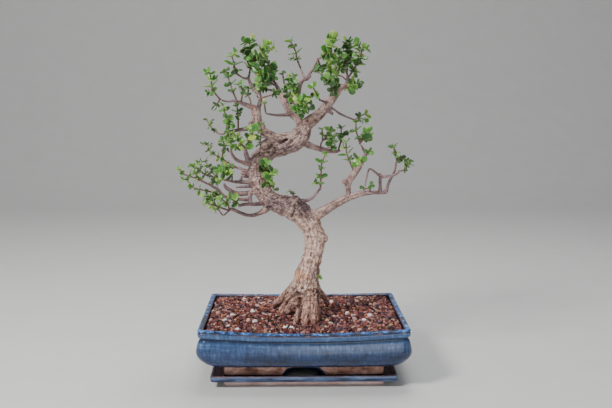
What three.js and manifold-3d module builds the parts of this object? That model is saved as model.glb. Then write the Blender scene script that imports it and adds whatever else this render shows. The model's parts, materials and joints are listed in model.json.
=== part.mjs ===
import * as THREE from 'three';
import Module from 'manifold-3d';

const wasm = await Module();
wasm.setup();

// Dwarf jade bonsai in a glazed pot on a drip tray. Millimetres, +Z up, origin under the tray's centre,
// +X to the right and -Y towards the viewer.

// Fit between neighbouring pieces
const GAP = 0.3;

// Drip tray
const TRAY_FOOT_X = 100;
const TRAY_FOOT_Y = 70;
const TRAY_FOOT_H = 5;
const TRAY_FLOOR_Z = 11;
const TRAY_RIM_X = 115.4;
const TRAY_RIM_Y = 85.4;
const TRAY_RIM_Z = 15.4;
const TRAY_RIM_W = 4;

// Pot
const POT_FOOT_Z = TRAY_FLOOR_Z + GAP;
const POT_FOOT_X = 99.5;
const POT_FOOT_Y = 67.5;
const POT_FOOT_W = 11;
const POT_UNDER_Z = 22;
const POT_FLOOR_Z = 31;
const POT_RIM_X = 129;
const POT_RIM_Y = 98.6;
const POT_RIM_Z = 77;
const POT_RIM_W = 6.4;
const POT_BOW = 7;
const RIM_SAG = 3;
const ARCH_W = 50;
const ARCH_H = 9.5;
const DRAIN_X = 48;
const DRAIN_R = 9;

// Drainage mesh over each hole
const MESH_SIZE = 30;
const MESH_T = 1.2;
const MESH_BAR = 2.2;
const MESH_BARS = 3;

// Soil
const SOIL_Z = 72.5;
const SOIL_MOUND = 3.5;

// Leaves: widest at two thirds of their length, plump in the middle
const LEAF_WIDTH = 0.84;
const LEAF_THICK = 1.7;
const STEM_R = 1.15;
const STEM_TIP_R = 0.8;
const KNUCKLE_R = 1.9;
const NODE_H = 1.8;
const NODE_STEP = 7.4;
const SMALL_LEAF = 10.4;
const TRIM = 2.2;
const CLEAR = 2.3;

// Trunk from the root flare upwards: x, y, z and radius
const TRUNK = [
  [7, -30, 58, 18], [6, -29, 82, 16], [5, -28, 97, 16], [3, -27, 112, 17], [4, -26, 125, 16.4],
  [8, -25, 140, 14], [12, -24, 154, 12], [14.5, -22, 166, 12.2], [14.5, -20, 176, 12.6],
  [12, -18, 186, 13.2], [5, -16, 197, 14.5], [-5, -14, 208, 14.5], [-18, -12, 215, 13],
  [-32, -9, 219, 11.5], [-45, -6, 226, 11.5], [-53, -4, 237, 11.5], [-59, -3, 249, 11],
  [-60, -3, 261, 10], [-58, -4, 273, 11], [-50, -6, 282, 11.5], [-37, -8, 288, 11],
  [-23, -10, 292, 10.5], [-10, -12, 299, 12], [-2, -14, 309, 11], [3, -15, 319, 8.5],
];
// Surface roots, outwards and down into the soil: x, y, z and radius
const ROOTS = {
  left_back: [
    [-2, -26, 122, 9.5], [-13, -17, 109, 7.6], [-23, 0, 96, 5.8], [-33, 20, 83, 4.4], [-41, 34, 71, 3.2],
  ],
  left: [
    [-2, -27, 108, 9], [-11, -23, 98, 8], [-19, -18, 88, 7.6], [-25, -14, 79, 6.8], [-30, -11, 68, 4.8],
  ],
  small: [
    [1, -30, 98, 5.4], [-4, -40, 90, 3.8], [-8, -48, 81, 3.4], [-11, -54, 73, 3.2], [-13, -58, 63, 2.4],
  ],
  front_left: [
    [4, -30, 104, 10], [4, -40, 93, 8.4], [3, -50, 83, 6.6], [2, -58, 74, 5.4], [1, -64, 64, 4.4],
  ],
  front_right: [
    [9, -29, 104, 10], [11, -39, 93, 7.8], [12, -48, 83, 6.8], [13, -55, 74, 6], [14, -60, 64, 4.8],
  ],
  right_back: [
    [11, -25, 116, 9], [18, -10, 106, 6], [25, 10, 95, 4.4], [31, 27, 84, 3.6], [35, 39, 71, 2.9],
  ],
  back: [
    [6, -24, 108, 10], [8, -12, 95, 8], [10, 2, 84, 6], [12, 15, 75, 4.6], [13, 23, 67, 3.6],
  ],
};
// Woody limbs from their start to their tip: x, y, z and radius
const LIMBS = {
  low_right: [
    [10, -16, 201, 9.5], [24, -21, 210, 6.6], [53, -31, 228, 4.8], [78, -39, 236, 3.2],
    [100, -46, 237, 2.2],
  ],
  low_right_riser: [
    [100, -46, 237, 2.2], [103, -45, 241, 2.2], [105, -44, 248, 1.7], [113, -40, 264, 1.5],
    [116, -38, 277, 1.3],
  ],
  low_right_post: [
    [95, -44, 236, 2.3], [94, -50, 261, 1.7],
  ],
  low_right_bar: [
    [94, -49, 257, 1.8], [108, -54, 259, 1.4], [113, -56, 261, 1.3], [117, -58, 265, 1.3],
  ],
  low_right_arch: [
    [94, -49, 258, 1.5], [82, -54, 267, 1.3], [78, -55, 262, 1.1], [75, -60, 247, 1],
  ],
  right_upright: [
    [56, -32, 228, 3.7], [56, -35, 237, 3], [56, -40, 250, 4.3], [67, -48, 267, 3.6],
    [75, -56, 284, 2.4], [74, -57, 289, 1.9], [68, -62, 299, 1.1],
  ],
  right_upright_knob: [
    [56, -40, 250, 3], [50, -46, 251, 3],
  ],
  mid_right: [
    [-4, -13, 299, 6.3], [1, -9, 297, 4.8], [9, -5, 293, 4.2], [27, 6, 287, 3.3],
    [43, 15, 284, 2.5], [48, 18, 286, 2],
  ],
  inner_shoot: [
    [-9, -13, 220, 4.4], [-2, -19, 224, 2.8], [5, -24, 225, 2.2], [12, -30, 230, 1.9],
    [21, -40, 242, 1.7],
  ],
  trunk_boss: [
    [-9, -13, 216, 10.2], [-12, -24, 225, 7.6],
  ],
  trunk_knob: [
    [15, -20, 176, 9.5], [23, -21, 176, 7.2], [26, -22, 176, 5],
  ],
  bottom_left: [
    [-43, -7, 220, 6.3], [-47, -13, 213, 4.8], [-54, -20, 209, 3.2], [-62, -27, 207, 2.5],
    [-72, -34, 208, 2.4], [-88, -49, 217, 2.3], [-92, -52, 216, 1.9],
  ],
  lower_left: [
    [-48, -6, 223, 5.1], [-56, -18, 220, 2.9], [-74, -40, 222, 2.2], [-80, -48, 221, 1.8],
  ],
  left_tie: [
    [-67, -31, 221, 2.4], [-67, -22, 236, 3],
  ],
  left_thick: [
    [-61, -4, 235, 5.1], [-68, -7, 233, 3.3], [-77, -10, 232, 3], [-86, -13, 233, 2.9],
    [-98, -18, 241, 2.4], [-100, -20, 246, 1.8],
  ],
  left_far: [
    [-67, -27, 227, 2.5], [-77, -30, 227, 2], [-97, -36, 231, 2], [-107, -40, 241, 1.8],
    [-118, -44, 248, 1.4],
  ],
  left_stub: [
    [-62, -3, 241, 2.3], [-85, -16, 241, 1.3],
  ],
  left_mid: [
    [-61, -3, 246, 3.8], [-87, 3, 246, 2.2], [-101, 6, 248, 1.7],
  ],
  left_link: [
    [-62, -3, 254, 3], [-71, -1, 253, 1.9], [-78, 0, 253, 1.9], [-81, 2, 246, 1.8],
  ],
  left_knob: [
    [-63, -3, 258, 3.8], [-72, -6, 258, 2.9], [-78, -8, 259, 3],
  ],
  left_knob_upper: [
    [-62, -4, 270, 4.3], [-74, -14, 271, 3],
  ],
  left_long: [
    [-63, -3, 260, 3], [-71, 7, 260, 2], [-88, 28, 263, 1.8],
  ],
  left_rise: [
    [-72, -12, 271, 2.5], [-84, -20, 276, 2.2], [-90, -26, 285, 1.8], [-90, -30, 292, 1.4],
  ],
  left_stem: [
    [-63, -4, 268, 4.3], [-68, -9, 272, 3.7], [-71, -15, 279, 3.2], [-73, -21, 288, 2.7],
    [-72, -26, 294, 2],
  ],
  upper_strand: [
    [-4, -14, 308, 6.3], [-13, -15, 307, 4.7], [-32, -17, 305, 4.4], [-42, -18, 308, 5],
    [-50, -19, 312, 6], [-55, -20, 319, 6.4], [-58, -20, 326, 6.2], [-58.5, -21, 334, 5.9],
    [-61, -22, 341, 4.8],
  ],
  strand_web: [
    [-51, -9, 292, 6], [-45, -13, 298, 5.6], [-34, -14, 302, 4.4],
  ],
  strand_knob: [
    [-59, -20, 321, 3.3], [-67, -26, 322, 2.8],
  ],
  left_arm: [
    [-58, -20, 317, 3.8], [-99, 16, 310, 1.5],
  ],
  crown_left: [
    [-58, -21, 336, 4.1], [-55, -16, 345, 2.9], [-54, -12, 353, 2.7], [-56, -9, 358, 2.5],
    [-65, -3, 368, 2.3], [-69, 3, 378, 1.9], [-68, 6, 385, 1.7],
  ],
  crown_left_side: [
    [-69, 3, 378, 1.5], [-74, -5, 378, 1.3], [-78, -12, 380, 1.1],
  ],
  crown_arm: [
    [-61, -22, 341, 3.6], [-84, -35, 350, 1.9], [-90, -39, 349, 1.4], [-98, -43, 350, 1.3],
    [-102, -46, 352, 1.1],
  ],
  centre_left: [
    [-3, -14, 316, 5.6], [-7, -7, 326, 4.6], [-19, 4, 339, 4.4], [-37, 30, 375, 2.3],
  ],
  centre_left_side: [
    [-29, 20, 361, 2.2], [-45, 14, 364, 1.4],
  ],
  centre_left_low: [
    [-13, -1, 333, 3.6], [-30, -17, 332, 2], [-45, -30, 334, 1.4], [-47, -34, 337, 1.1],
  ],
  centre_left_thin: [
    [-20, 7, 343, 1.8], [-21, 8, 365, 1.1], [-24, 8, 372, 1],
  ],
  centre_up: [
    [-2, -14, 315, 5.3], [-5, -16, 325, 3.8], [-7, -19, 345, 2.9], [-4, -24, 371, 2.9],
    [6, -26, 380, 2], [18, -30, 401, 1.4],
  ],
  centre_up_knob: [
    [4, -25, 377, 2], [8, -32, 380, 1.7],
  ],
  centre_whip: [
    [2, -25, 376, 1.7], [-3, -10, 390, 1.1],
  ],
  upper_right: [
    [0, -14, 312, 9.7], [3, -15, 319, 8.6], [19, -16, 332, 6.7], [32, -17, 347, 6.1],
    [42, -17, 361, 5.2], [47, -18, 366, 4.1], [51, -18, 368, 2.9],
  ],
  upper_right_stub: [
    [29, -16, 340, 3], [36, -26, 334, 2],
  ],
  upper_right_thin: [
    [31, -16, 343, 2.3], [39, -11, 339, 1.4], [48, -3, 333, 1.3], [67, 10, 325, 1.1],
  ],
  upper_right_side: [
    [31, -17, 347, 1.8], [20, -38, 351, 1.1],
  ],
  upper_right_riser: [
    [50, -18, 367, 2.4], [53, -19, 369, 1.9], [55, -24, 379, 1.5], [54, -26, 384, 1.4],
  ],
};
// Leafy shoots, each stem as: pairs of leaves, leaf length, share of the stem that is bare, and its path
const SPRAYS = {
  left_hook: [
    [4, 9, 0.35, [[-92, -52, 216], [-119, -66, 228]]],
    [2, 9.5, 0.8, [[-92, -52, 216], [-96, -49, 212], [-101, -46, 210], [-110, -38, 219], [-112, -34, 226]]],
    [3, 11.5, 0.45, [[-92, -52, 216], [-92, -57, 223], [-96, -62, 229], [-100, -66, 232]]],
  ],
  left_low_big: [
    [3, 14, 0.35, [[-79, -46, 221], [-82, -51, 226], [-91, -62, 233]]],
  ],
  left_low_spread: [
    [4, 11.5, 0.3, [[-97, -36, 231], [-123, -54, 234]]],
    [4, 8, 0.4, [[-97, -36, 231], [-108, -31, 235], [-130, -23, 239], [-138, -20, 239], [-148, -14, 251]]],
  ],
  left_tip: [
    [4, 8, 0.35, [[-118, -44, 248], [-135, -50, 257], [-147, -53, 261], [-152, -56, 268]]],
    [4, 9.5, 0.35, [[-118, -44, 248], [-127, -40, 252], [-133, -36, 258], [-138, -30, 269]]],
    [2, 9, 0.5, [[-118, -44, 248], [-105, -62, 257]]],
  ],
  left_fan: [
    [4, 9, 0.3, [[-101, 6, 248], [-109, 9, 250], [-116, 12, 255], [-128, 20, 272]]],
    [4, 9.5, 0.3, [[-109, 9, 250], [-126, 0, 256], [-137, -8, 266]]],
  ],
  left_inner: [
    [4, 11, 0.3, [[-92, 4, 247], [-91, -2, 253], [-95, -9, 259], [-105, -22, 262]]],
  ],
  left_long_tip: [
    [5, 8, 0.35, [[-88, 28, 263], [-123, 45, 282], [-128, 50, 292]]],
    [4, 10.5, 0.2, [[-88, 28, 263], [-93, 23, 262], [-105, 11, 265], [-110, 6, 262]]],
    [4, 9, 0.3, [[-107, 37, 274], [-103, 28, 293], [-105, 24, 300]]],
  ],
  left_rise_tip: [
    [4, 11, 0.25, [[-90, -30, 292], [-92, -22, 310]]],
    [2, 9.5, 0.5, [[-90, -30, 292], [-79, -46, 295]]],
  ],
  left_stem_side: [
    [3, 8.5, 0.35, [[-73, -24, 291], [-84, -50, 307]]],
  ],
  left_stem_big: [
    [4, 15, 0.2, [[-72, -26, 294], [-65, -37, 304], [-63, -44, 311], [-64, -48, 315]]],
  ],
  trunk_fork_front: [
    [4, 11, 0.3, [[-52, -6, 285], [-55, -15, 297], [-52, -27, 313], [-53, -34, 321]]],
  ],
  trunk_front: [
    [4, 13.5, 0.3, [[-55, -4, 241], [-50, -14, 244], [-44, -26, 250], [-38, -50, 263]]],
    [2, 8.5, 0.5, [[-50, -14, 244], [-45, -18, 245], [-41, -24, 243], [-36, -30, 239]]],
  ],
  trunk_front_upper: [
    [3, 11.5, 0.4, [[-59, -3, 259], [-51, -17, 263], [-48, -25, 267], [-47, -34, 273]]],
  ],
  trunk_top: [
    [2, 7, 0.6, [[-12, -23, 224], [-13, -26, 234]]],
  ],
  left_arm_tip: [
    [4, 7.5, 0.45, [[-99, 16, 310], [-103, 18, 307], [-109, 21, 307], [-117, 26, 313], [-121, 29, 317],
      [-124, 32, 323], [-127, 34, 325]]],
    [4, 10.5, 0.3, [[-99, 16, 310], [-95, 4, 317], [-93, -9, 324], [-94, -18, 330]]],
    [3, 11.5, 0.35, [[-99, 16, 310], [-90, -2, 303], [-95, -12, 301]]],
    [3, 10.5, 0.5, [[-99, 16, 310], [-99, 19, 325], [-104, 22, 345]]],
  ],
  left_arm_whip: [
    [3, 9, 0.5, [[-83, 2, 313], [-82, -11, 332], [-83, -20, 344]]],
  ],
  crown_left_top: [
    [5, 13, 0.15, [[-68, 6, 385], [-66, 8, 401], [-68, 10, 423]]],
    [4, 13, 0.25, [[-67, 7, 394], [-64, 2, 399], [-46, -14, 414]]],
  ],
  crown_left_big: [
    [4, 13.5, 0.2, [[-78, -12, 380], [-84, -12, 384], [-89, -14, 406]]],
  ],
  crown_left_low: [
    [2, 13, 0.75, [[-54, -12, 353], [-36, -30, 358]]],
  ],
  crown_arm_tip: [
    [4, 11, 0.3, [[-102, -46, 352], [-109, -50, 361], [-111, -52, 367], [-112, -58, 383]]],
    [2, 10.5, 0.6, [[-102, -46, 352], [-107, -34, 345]]],
  ],
  crown_arm_back: [
    [4, 9.5, 0.3, [[-82, -35, 350], [-88, -29, 363], [-92, -23, 376], [-98, -18, 387]]],
  ],
  crown_arm_front: [
    [3, 10.5, 0.6, [[-77, -32, 348], [-74, -41, 361], [-75, -45, 367], [-78, -48, 370]]],
  ],
  crown_arm_inner: [
    [3, 9, 0.6, [[-65, -24, 342], [-66, -20, 350], [-71, -13, 361], [-69, -10, 366]]],
  ],
  centre_left_top: [
    [4, 13, 0.35, [[-37, 30, 375], [-40, 21, 390], [-50, 12, 403]]],
    [4, 12, 0.35, [[-37, 30, 375], [-41, 21, 379], [-47, 10, 382], [-54, -2, 383]]],
  ],
  centre_left_fan: [
    [4, 12, 0.3, [[-35, 26, 369], [-43, 33, 373], [-51, 39, 375], [-58, 44, 374]]],
  ],
  centre_left_side_tip: [
    [4, 11.5, 0.25, [[-45, 14, 364], [-55, 0, 365], [-58, -6, 368]]],
  ],
  centre_left_thin_tip: [
    [3, 9.5, 0.4, [[-24, 8, 372], [-26, 6, 384]]],
  ],
  centre_left_low_tip: [
    [3, 8.5, 0.4, [[-47, -34, 337], [-48, -42, 348]]],
  ],
  centre_whip_tip: [
    [4, 11, 0.3, [[-3, -10, 390], [-8, -15, 402], [-9, -18, 409], [-13, -22, 419], [-16, -24, 423]]],
  ],
  centre_up_left: [
    [4, 9.5, 0.35, [[-6, -21, 356], [-12, -37, 368], [-13, -44, 374]]],
  ],
  centre_up_low: [
    [4, 9.5, 0.3, [[-6, -19, 342], [-12, -15, 346], [-15, -10, 352], [-17, 0, 366]]],
  ],
  centre_up_right: [
    [4, 10.5, 0.35, [[-6, -18, 336], [0, -15, 340], [7, -10, 348]]],
  ],
  centre_up_front: [
    [4, 11.5, 0.3, [[-5, -17, 328], [-4, -35, 342], [-1, -46, 350]]],
  ],
  centre_crown: [
    [5, 12, 0.2, [[18, -30, 401], [28, -35, 406], [35, -44, 422]]],
    [2, 11.5, 0.6, [[18, -30, 401], [21, -22, 392]]],
  ],
  upper_right_side_tip: [
    [4, 10.5, 0.25, [[20, -38, 351], [11, -50, 367]]],
  ],
  upper_right_thin_tip: [
    [3, 12, 0.35, [[67, 10, 325], [75, 14, 331], [81, 16, 333]]],
  ],
  upper_right_outer: [
    [4, 12, 0.25, [[55, -23, 377], [69, -32, 399], [72, -38, 413]]],
  ],
  upper_right_top: [
    [4, 12, 0.3, [[54, -26, 384], [57, -10, 423]]],
    [4, 11.5, 0.35, [[54, -26, 384], [42, -48, 407]]],
  ],
  upper_right_inner: [
    [4, 13, 0.4, [[54, -22, 375], [49, -16, 380], [39, -8, 383], [35, -3, 389], [34, 2, 395]]],
  ],
  upper_right_low: [
    [4, 12.5, 0.3, [[44, -18, 362], [30, -44, 376]]],
  ],
  upper_right_edge: [
    [4, 10.5, 0.3, [[49, -18, 366], [63, -1, 367], [71, 10, 372]]],
  ],
  right_top: [
    [4, 9, 0.2, [[68, -62, 299], [63, -63, 314], [62, -64, 320], [63, -64, 325]]],
    [4, 11, 0.35, [[68, -62, 299], [77, -44, 308], [79, -36, 313]]],
  ],
  right_mid: [
    [2, 8.5, 0.5, [[71, -59, 292], [75, -65, 292], [78, -72, 290]]],
  ],
  right_low: [
    [2, 14.5, 0.45, [[73, -54, 280], [69, -65, 279], [64, -78, 281]]],
  ],
  right_shoot: [
    [4, 13, 0.4, [[63, -45, 261], [53, -45, 285], [52, -44, 300]]],
  ],
  mid_right_first: [
    [3, 8, 0.6, [[23, 4, 289], [23, 2, 295], [25, 0, 299], [24, -6, 315]]],
    [3, 9.5, 0.4, [[25, 0, 299], [34, 14, 307], [36, 20, 312]]],
  ],
  mid_right_second: [
    [4, 11, 0.3, [[36, 12, 285], [37, 1, 293], [36, -16, 305]]],
  ],
  mid_right_tip: [
    [4, 10.5, 0.4, [[46, 17, 285], [51, 22, 301], [50, 26, 314]]],
  ],
  inner_shoot_tip: [
    [5, 9.5, 0.08, [[21, -40, 242], [22, -44, 273], [25, -45, 278], [26, -46, 284]]],
  ],
  low_right_top: [
    [4, 9.5, 0.3, [[116, -38, 277], [111, -46, 294]]],
    [3, 9, 0.4, [[116, -38, 277], [118, -34, 280], [123, -30, 279], [129, -24, 275]]],
  ],
  low_right_side: [
    [4, 8.5, 0.3, [[117, -58, 265], [122, -59, 266], [125, -61, 269], [128, -62, 274]]],
  ],
  low_right_sprout: [
    [2, 8.5, 0.55, [[82, -40, 236], [82, -56, 247]]],
    [2, 8.5, 0.5, [[82, -50, 243], [78, -42, 241], [75, -34, 241]]],
  ],
};

// One random sequence for the whole plant
let state = 20417;
function random() {
  state = (state * 1664525 + 1013904223) % 4294967296;
  return state / 4294967296;
}

const V = (x, y, z) => new THREE.Vector3(x, y, z);

// Solid with rings of equal length as its skin, closed by a flat cap or by a point at each end
function loft(rings, startPoint, endPoint) {
  const n = rings[0].length;
  const points = rings.flat();
  const faces = [];
  for (let r = 0; r + 1 < rings.length; r++) {
    for (let i = 0; i < n; i++) {
      const a = r * n + i;
      const b = r * n + (i + 1) % n;
      faces.push(a, b, b + n, a, b + n, a + n);
    }
  }
  const last = (rings.length - 1) * n;
  if (startPoint) {
    points.push(startPoint);
    for (let i = 0; i < n; i++) faces.push(points.length - 1, (i + 1) % n, i);
  } else {
    for (let i = 1; i + 1 < n; i++) faces.push(0, i + 1, i);
  }
  if (endPoint) {
    points.push(endPoint);
    for (let i = 0; i < n; i++) faces.push(points.length - 1, last + i, last + (i + 1) % n);
  } else {
    for (let i = 1; i + 1 < n; i++) faces.push(last, last + i, last + i + 1);
  }
  return solid(points, faces);
}

function solid(points, faces) {
  return new wasm.Manifold(new wasm.Mesh({
    numProp: 3,
    vertProperties: Float32Array.from(points.flatMap((p) => [p.x, p.y, p.z])),
    triVerts: Uint32Array.from(faces),
  }));
}

// Box between two corners
function block(x0, y0, z0, x1, y1, z1) {
  const ring = (z) => [V(x0, y0, z), V(x1, y0, z), V(x1, y1, z), V(x0, y1, z)];
  return loft([ring(z0), ring(z1)]);
}

// Upright round bar
function post(x, y, r, z0, z1, sides) {
  const ring = (z) => Array.from({ length: sides }, (_, i) => {
    const t = (i + 0.5) / sides * Math.PI * 2;
    return V(x + r * Math.cos(t), y + r * Math.sin(t), z);
  });
  return loft([ring(z0), ring(z1)]);
}

function unite(list) {
  let all = list[0];
  for (const piece of list.slice(1)) all = all.add(piece);
  return all;
}

// Biggest connected body of a solid
function main(body) {
  const list = body.decompose().sort((a, b) => b.volume() - a.volume());
  return list[0];
}

// Rectangle with round corners, long sides bowed out by bow, sagging in the middle of each side by sag
function frameRing(a, b, corner, z, bow = 0, sag = 0) {
  const ring = [];
  const arc = (cx, cy, from) => {
    for (let i = 0; i <= 3; i++) {
      const t = from + i * Math.PI / 6;
      ring.push([cx + corner * Math.cos(t), cy + corner * Math.sin(t)]);
    }
  };
  const longSide = (side) => {
    for (const k of [-0.6, -0.2, 0.2, 0.6]) ring.push([side * k * (a - corner), -side * b]);
  };
  const shortSide = (side) => {
    for (const k of [-0.3, 0.3]) ring.push([side * a, side * k * (b - corner)]);
  };
  arc(-a + corner, -b + corner, Math.PI);
  longSide(1);
  arc(a - corner, -b + corner, -Math.PI / 2);
  shortSide(1);
  arc(a - corner, b - corner, 0);
  longSide(-1);
  arc(-a + corner, b - corner, Math.PI / 2);
  shortSide(-1);
  return ring.map(([x, y]) => {
    const along = Math.max(0, 1 - (x / a) ** 2);
    const across = Math.max(0, 1 - (y / b) ** 2);
    const dip = Math.max(along * (Math.abs(y) / b) ** 2, across * 0.3);
    return V(x, y * (1 + bow * along / b), z - sag * dip);
  });
}

function makeTray() {
  const under = TRAY_RIM_Z - 7;
  return loft([
    frameRing(TRAY_FOOT_X, TRAY_FOOT_Y, 4, 0),
    frameRing(TRAY_FOOT_X, TRAY_FOOT_Y, 4, TRAY_FOOT_H),
    frameRing(TRAY_RIM_X - 3.2, TRAY_RIM_Y - 3.2, 5, under - 0.8),
    frameRing(TRAY_RIM_X - 0.6, TRAY_RIM_Y - 0.6, 4, under),
    frameRing(TRAY_RIM_X, TRAY_RIM_Y, 4, TRAY_RIM_Z - 1),
    frameRing(TRAY_RIM_X - 1.4, TRAY_RIM_Y - 1.4, 3.5, TRAY_RIM_Z),
    frameRing(TRAY_RIM_X - TRAY_RIM_W, TRAY_RIM_Y - TRAY_RIM_W, 3, TRAY_RIM_Z - 0.5),
    frameRing(TRAY_FOOT_X + 5, TRAY_FOOT_Y + 4, 3, TRAY_FLOOR_Z),
  ]);
}

function makePot() {
  const foot = (grow, z, corner) => frameRing(POT_FOOT_X + grow, POT_FOOT_Y + grow, corner, z);
  const wall = (inset, z, corner) => (
    frameRing(POT_RIM_X - inset, POT_RIM_Y - inset, corner, z, POT_BOW, RIM_SAG));
  const pot = loft([
    foot(-POT_FOOT_W - 1, POT_UNDER_Z, 5),
    foot(-POT_FOOT_W, POT_FOOT_Z, 5),
    foot(-0.8, POT_FOOT_Z, 5),
    foot(0, POT_FOOT_Z + 1, 5),
    foot(0.5, 22.6, 5),
    frameRing(104, 74, 8, 24.3, 1),
    frameRing(110, 82, 10, 26.6, 2),
    frameRing(120, 91, 12, 31.5, 4),
    frameRing(128.2, 97, 12, 39.5, 6),
    frameRing(131.4, 99, 12, 46.5, POT_BOW, 1),
    frameRing(130.4, 98.4, 12, 54, POT_BOW, 2),
    frameRing(128.6, 97.6, 9, 60.5, POT_BOW, 2.6),
    wall(2, 65.2, 7),
    wall(0.5, 67.3, 6),
    wall(0, 75.2, 6),
    wall(1.8, POT_RIM_Z, 5),
    wall(4.8, POT_RIM_Z, 4),
    wall(POT_RIM_W, 75, 4),
    wall(POT_RIM_W + 0.6, 62, 4),
    frameRing(121, 90.6, 8, 50, 5, 1),
    frameRing(113, 84, 8, 38, 3),
    frameRing(101, 74, 8, POT_FLOOR_Z),
  ]);
  const cuts = [-1, 1].map((side) => {
    const ring = (y) => [
      V(-ARCH_W / 2, y, POT_FOOT_Z - 2), V(ARCH_W / 2, y, POT_FOOT_Z - 2),
      V(ARCH_W / 2, y, POT_FOOT_Z + 1.5),
      V(ARCH_W / 2 - 10.5, y, POT_FOOT_Z + ARCH_H), V(-ARCH_W / 2 + 10.5, y, POT_FOOT_Z + ARCH_H),
      V(-ARCH_W / 2, y, POT_FOOT_Z + 1.5),
    ];
    const outer = side * (POT_FOOT_Y + 3);
    const inner = side * (POT_FOOT_Y - POT_FOOT_W - 3);
    return loft([ring(Math.max(outer, inner)), ring(Math.min(outer, inner))]);
  });
  const drains = [-DRAIN_X, DRAIN_X].map((x) => post(x, 0, DRAIN_R, POT_UNDER_Z - 2, POT_FLOOR_Z + 2, 16));
  return pot.subtract(unite([...cuts, ...drains]));
}

// Square plastic net lying on the pot floor
function makeDrainMesh(x) {
  const half = MESH_SIZE / 2;
  const z = POT_FLOOR_Z + GAP;
  const step = (MESH_SIZE - MESH_BAR) / (MESH_BARS - 1);
  const bars = [];
  for (let i = 0; i < MESH_BARS; i++) {
    const at = -half + i * step;
    bars.push(block(x + at, -half, z, x + at + MESH_BAR, half, z + MESH_T));
    bars.push(block(x - half, at, z, x + half, at + MESH_BAR, z + MESH_T));
  }
  return unite(bars);
}

// Soil surface: a low mound at the trunk, grains of two sizes over it
function soilHeight(x, y) {
  const mound = SOIL_MOUND * Math.exp(-((x - 5) ** 2 + (y + 20) ** 2) / 2600);
  const grain = 0.55 * Math.sin(x * 0.61 + 1.7 * Math.sin(y * 0.23))
    * Math.sin(y * 0.57 + 1.3 * Math.sin(x * 0.19));
  const lump = 0.5 * Math.sin(x * 0.11 + 2) * Math.sin(y * 0.13 + 1);
  return SOIL_Z + mound + grain + lump;
}

function makeSoil(hole, nets) {
  const side = (inset, z) => frameRing(POT_RIM_X - inset, POT_RIM_Y - inset, 5, z, POT_BOW);
  const rings = [
    frameRing(101 - 1.2, 74 - 1.2, 8, POT_FLOOR_Z + GAP),
    frameRing(113 - 1.4, 84 - 1.4, 8, 38.5, 3),
    frameRing(120.2, 89.8, 8, 50, 5),
    side(POT_RIM_W + 1.4, 62),
    side(POT_RIM_W + 0.9, 69.5),
  ];
  const edge = side(POT_RIM_W + 1.6, 0);
  for (const scale of [1, 0.86, 0.71, 0.56, 0.41, 0.25]) {
    const drop = scale === 1 ? 1.5 : 0;
    rings.push(edge.map(({ x, y }) => V(x * scale, y * scale, soilHeight(x * scale, y * scale) - drop)));
  }
  const half = MESH_SIZE / 2 + GAP;
  const top = POT_FLOOR_Z + MESH_T + 2 * GAP;
  const pockets = nets.map((x) => block(x - half, -half, POT_FLOOR_Z - 1, x + half, half, top));
  return main(loft(rings, null, V(0, 0, soilHeight(0, 0))).subtract(unite([hole, ...pockets])));
}

// Directions across a path, carried along it without twist
function framesAlong(path) {
  const frames = [];
  let across = null;
  path.forEach((p, i) => {
    const before = path[Math.max(i - 1, 0)];
    const after = path[Math.min(i + 1, path.length - 1)];
    const along = after.clone().sub(before).normalize();
    if (!across) across = Math.abs(along.y) < 0.9 ? V(0, 1, 0) : V(1, 0, 0);
    across = across.clone().addScaledVector(along, -across.dot(along)).normalize();
    frames.push({ along, across, over: along.clone().cross(across) });
  });
  return frames;
}

// Round tapering limb through points x, y, z, radius, with a blunt rounded end
function limb(points, sides, grow = 0, gnarl = 0) {
  const path = points.map(([x, y, z]) => V(x, y, z));
  const frames = framesAlong(path);
  path[0].addScaledVector(frames[0].along, -grow);
  path[path.length - 1].addScaledVector(frames[path.length - 1].along, 0.7 * grow);
  const rings = path.map((p, i) => Array.from({ length: sides }, (_, k) => {
    const t = k / sides * Math.PI * 2;
    const lobes = 1 + gnarl * (Math.cos(2 * t + 1.3 * i) + 0.7 * Math.cos(3 * t - 0.8 * i));
    const r = points[i][3] * lobes + grow;
    return p.clone().addScaledVector(frames[i].across, r * Math.cos(t))
      .addScaledVector(frames[i].over, r * Math.sin(t));
  }));
  const end = path.length - 1;
  const blunt = points[end][3] * 0.4 + grow;
  return loft(rings, null, path[end].clone().addScaledVector(frames[end].along, blunt));
}

// A limb's list shortened a little at its end
function trimmed(points) {
  const [a, b] = points.slice(-2);
  const length = Math.hypot(b[0] - a[0], b[1] - a[1], b[2] - a[2]);
  const keep = Math.max(0.3, 1 - TRIM / length);
  const end = [0, 1, 2].map((i) => a[i] + (b[i] - a[i]) * keep);
  return [...points.slice(0, -1), [...end, b[3]]];
}

const samePlace = (a, b) => a[0] === b[0] && a[1] === b[1] && a[2] === b[2];
const shootStarts = Object.values(SPRAYS).filter((s) => s.length > 1).map((s) => s[0][3][0]);
const limbs = Object.values(LIMBS).map((points) => (
  shootStarts.some((s) => samePlace(s, points[points.length - 1])) ? trimmed(points) : points));
const roots = Object.values(ROOTS);

const sidesFor = (points) => (points[0][3] > 6 ? 6 : points[0][3] > 3.6 ? 5 : 4);

// Trunk, roots and every woody limb, grown as one piece
function makeWood(grow) {
  return unite([
    limb(TRUNK, 10, grow, 0.05),
    ...roots.map((points) => limb(points, 6, grow)),
    ...limbs.map((points) => limb(points, sidesFor(points), grow)),
  ]);
}

// Leaf outline: place along the leaf and half width, both as a share of its length
const OUTLINE = [[0, 0.08], [0.36, 0.3], [0.72, 0.5], [1, 0]];

function halfWidth(t) {
  for (let i = 0; i + 1 < OUTLINE.length; i++) {
    const [t0, w0] = OUTLINE[i];
    const [t1, w1] = OUTLINE[i + 1];
    if (t <= t1) return w0 + (w1 - w0) * (t - t0) / (t1 - t0);
  }
  return 0;
}

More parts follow.
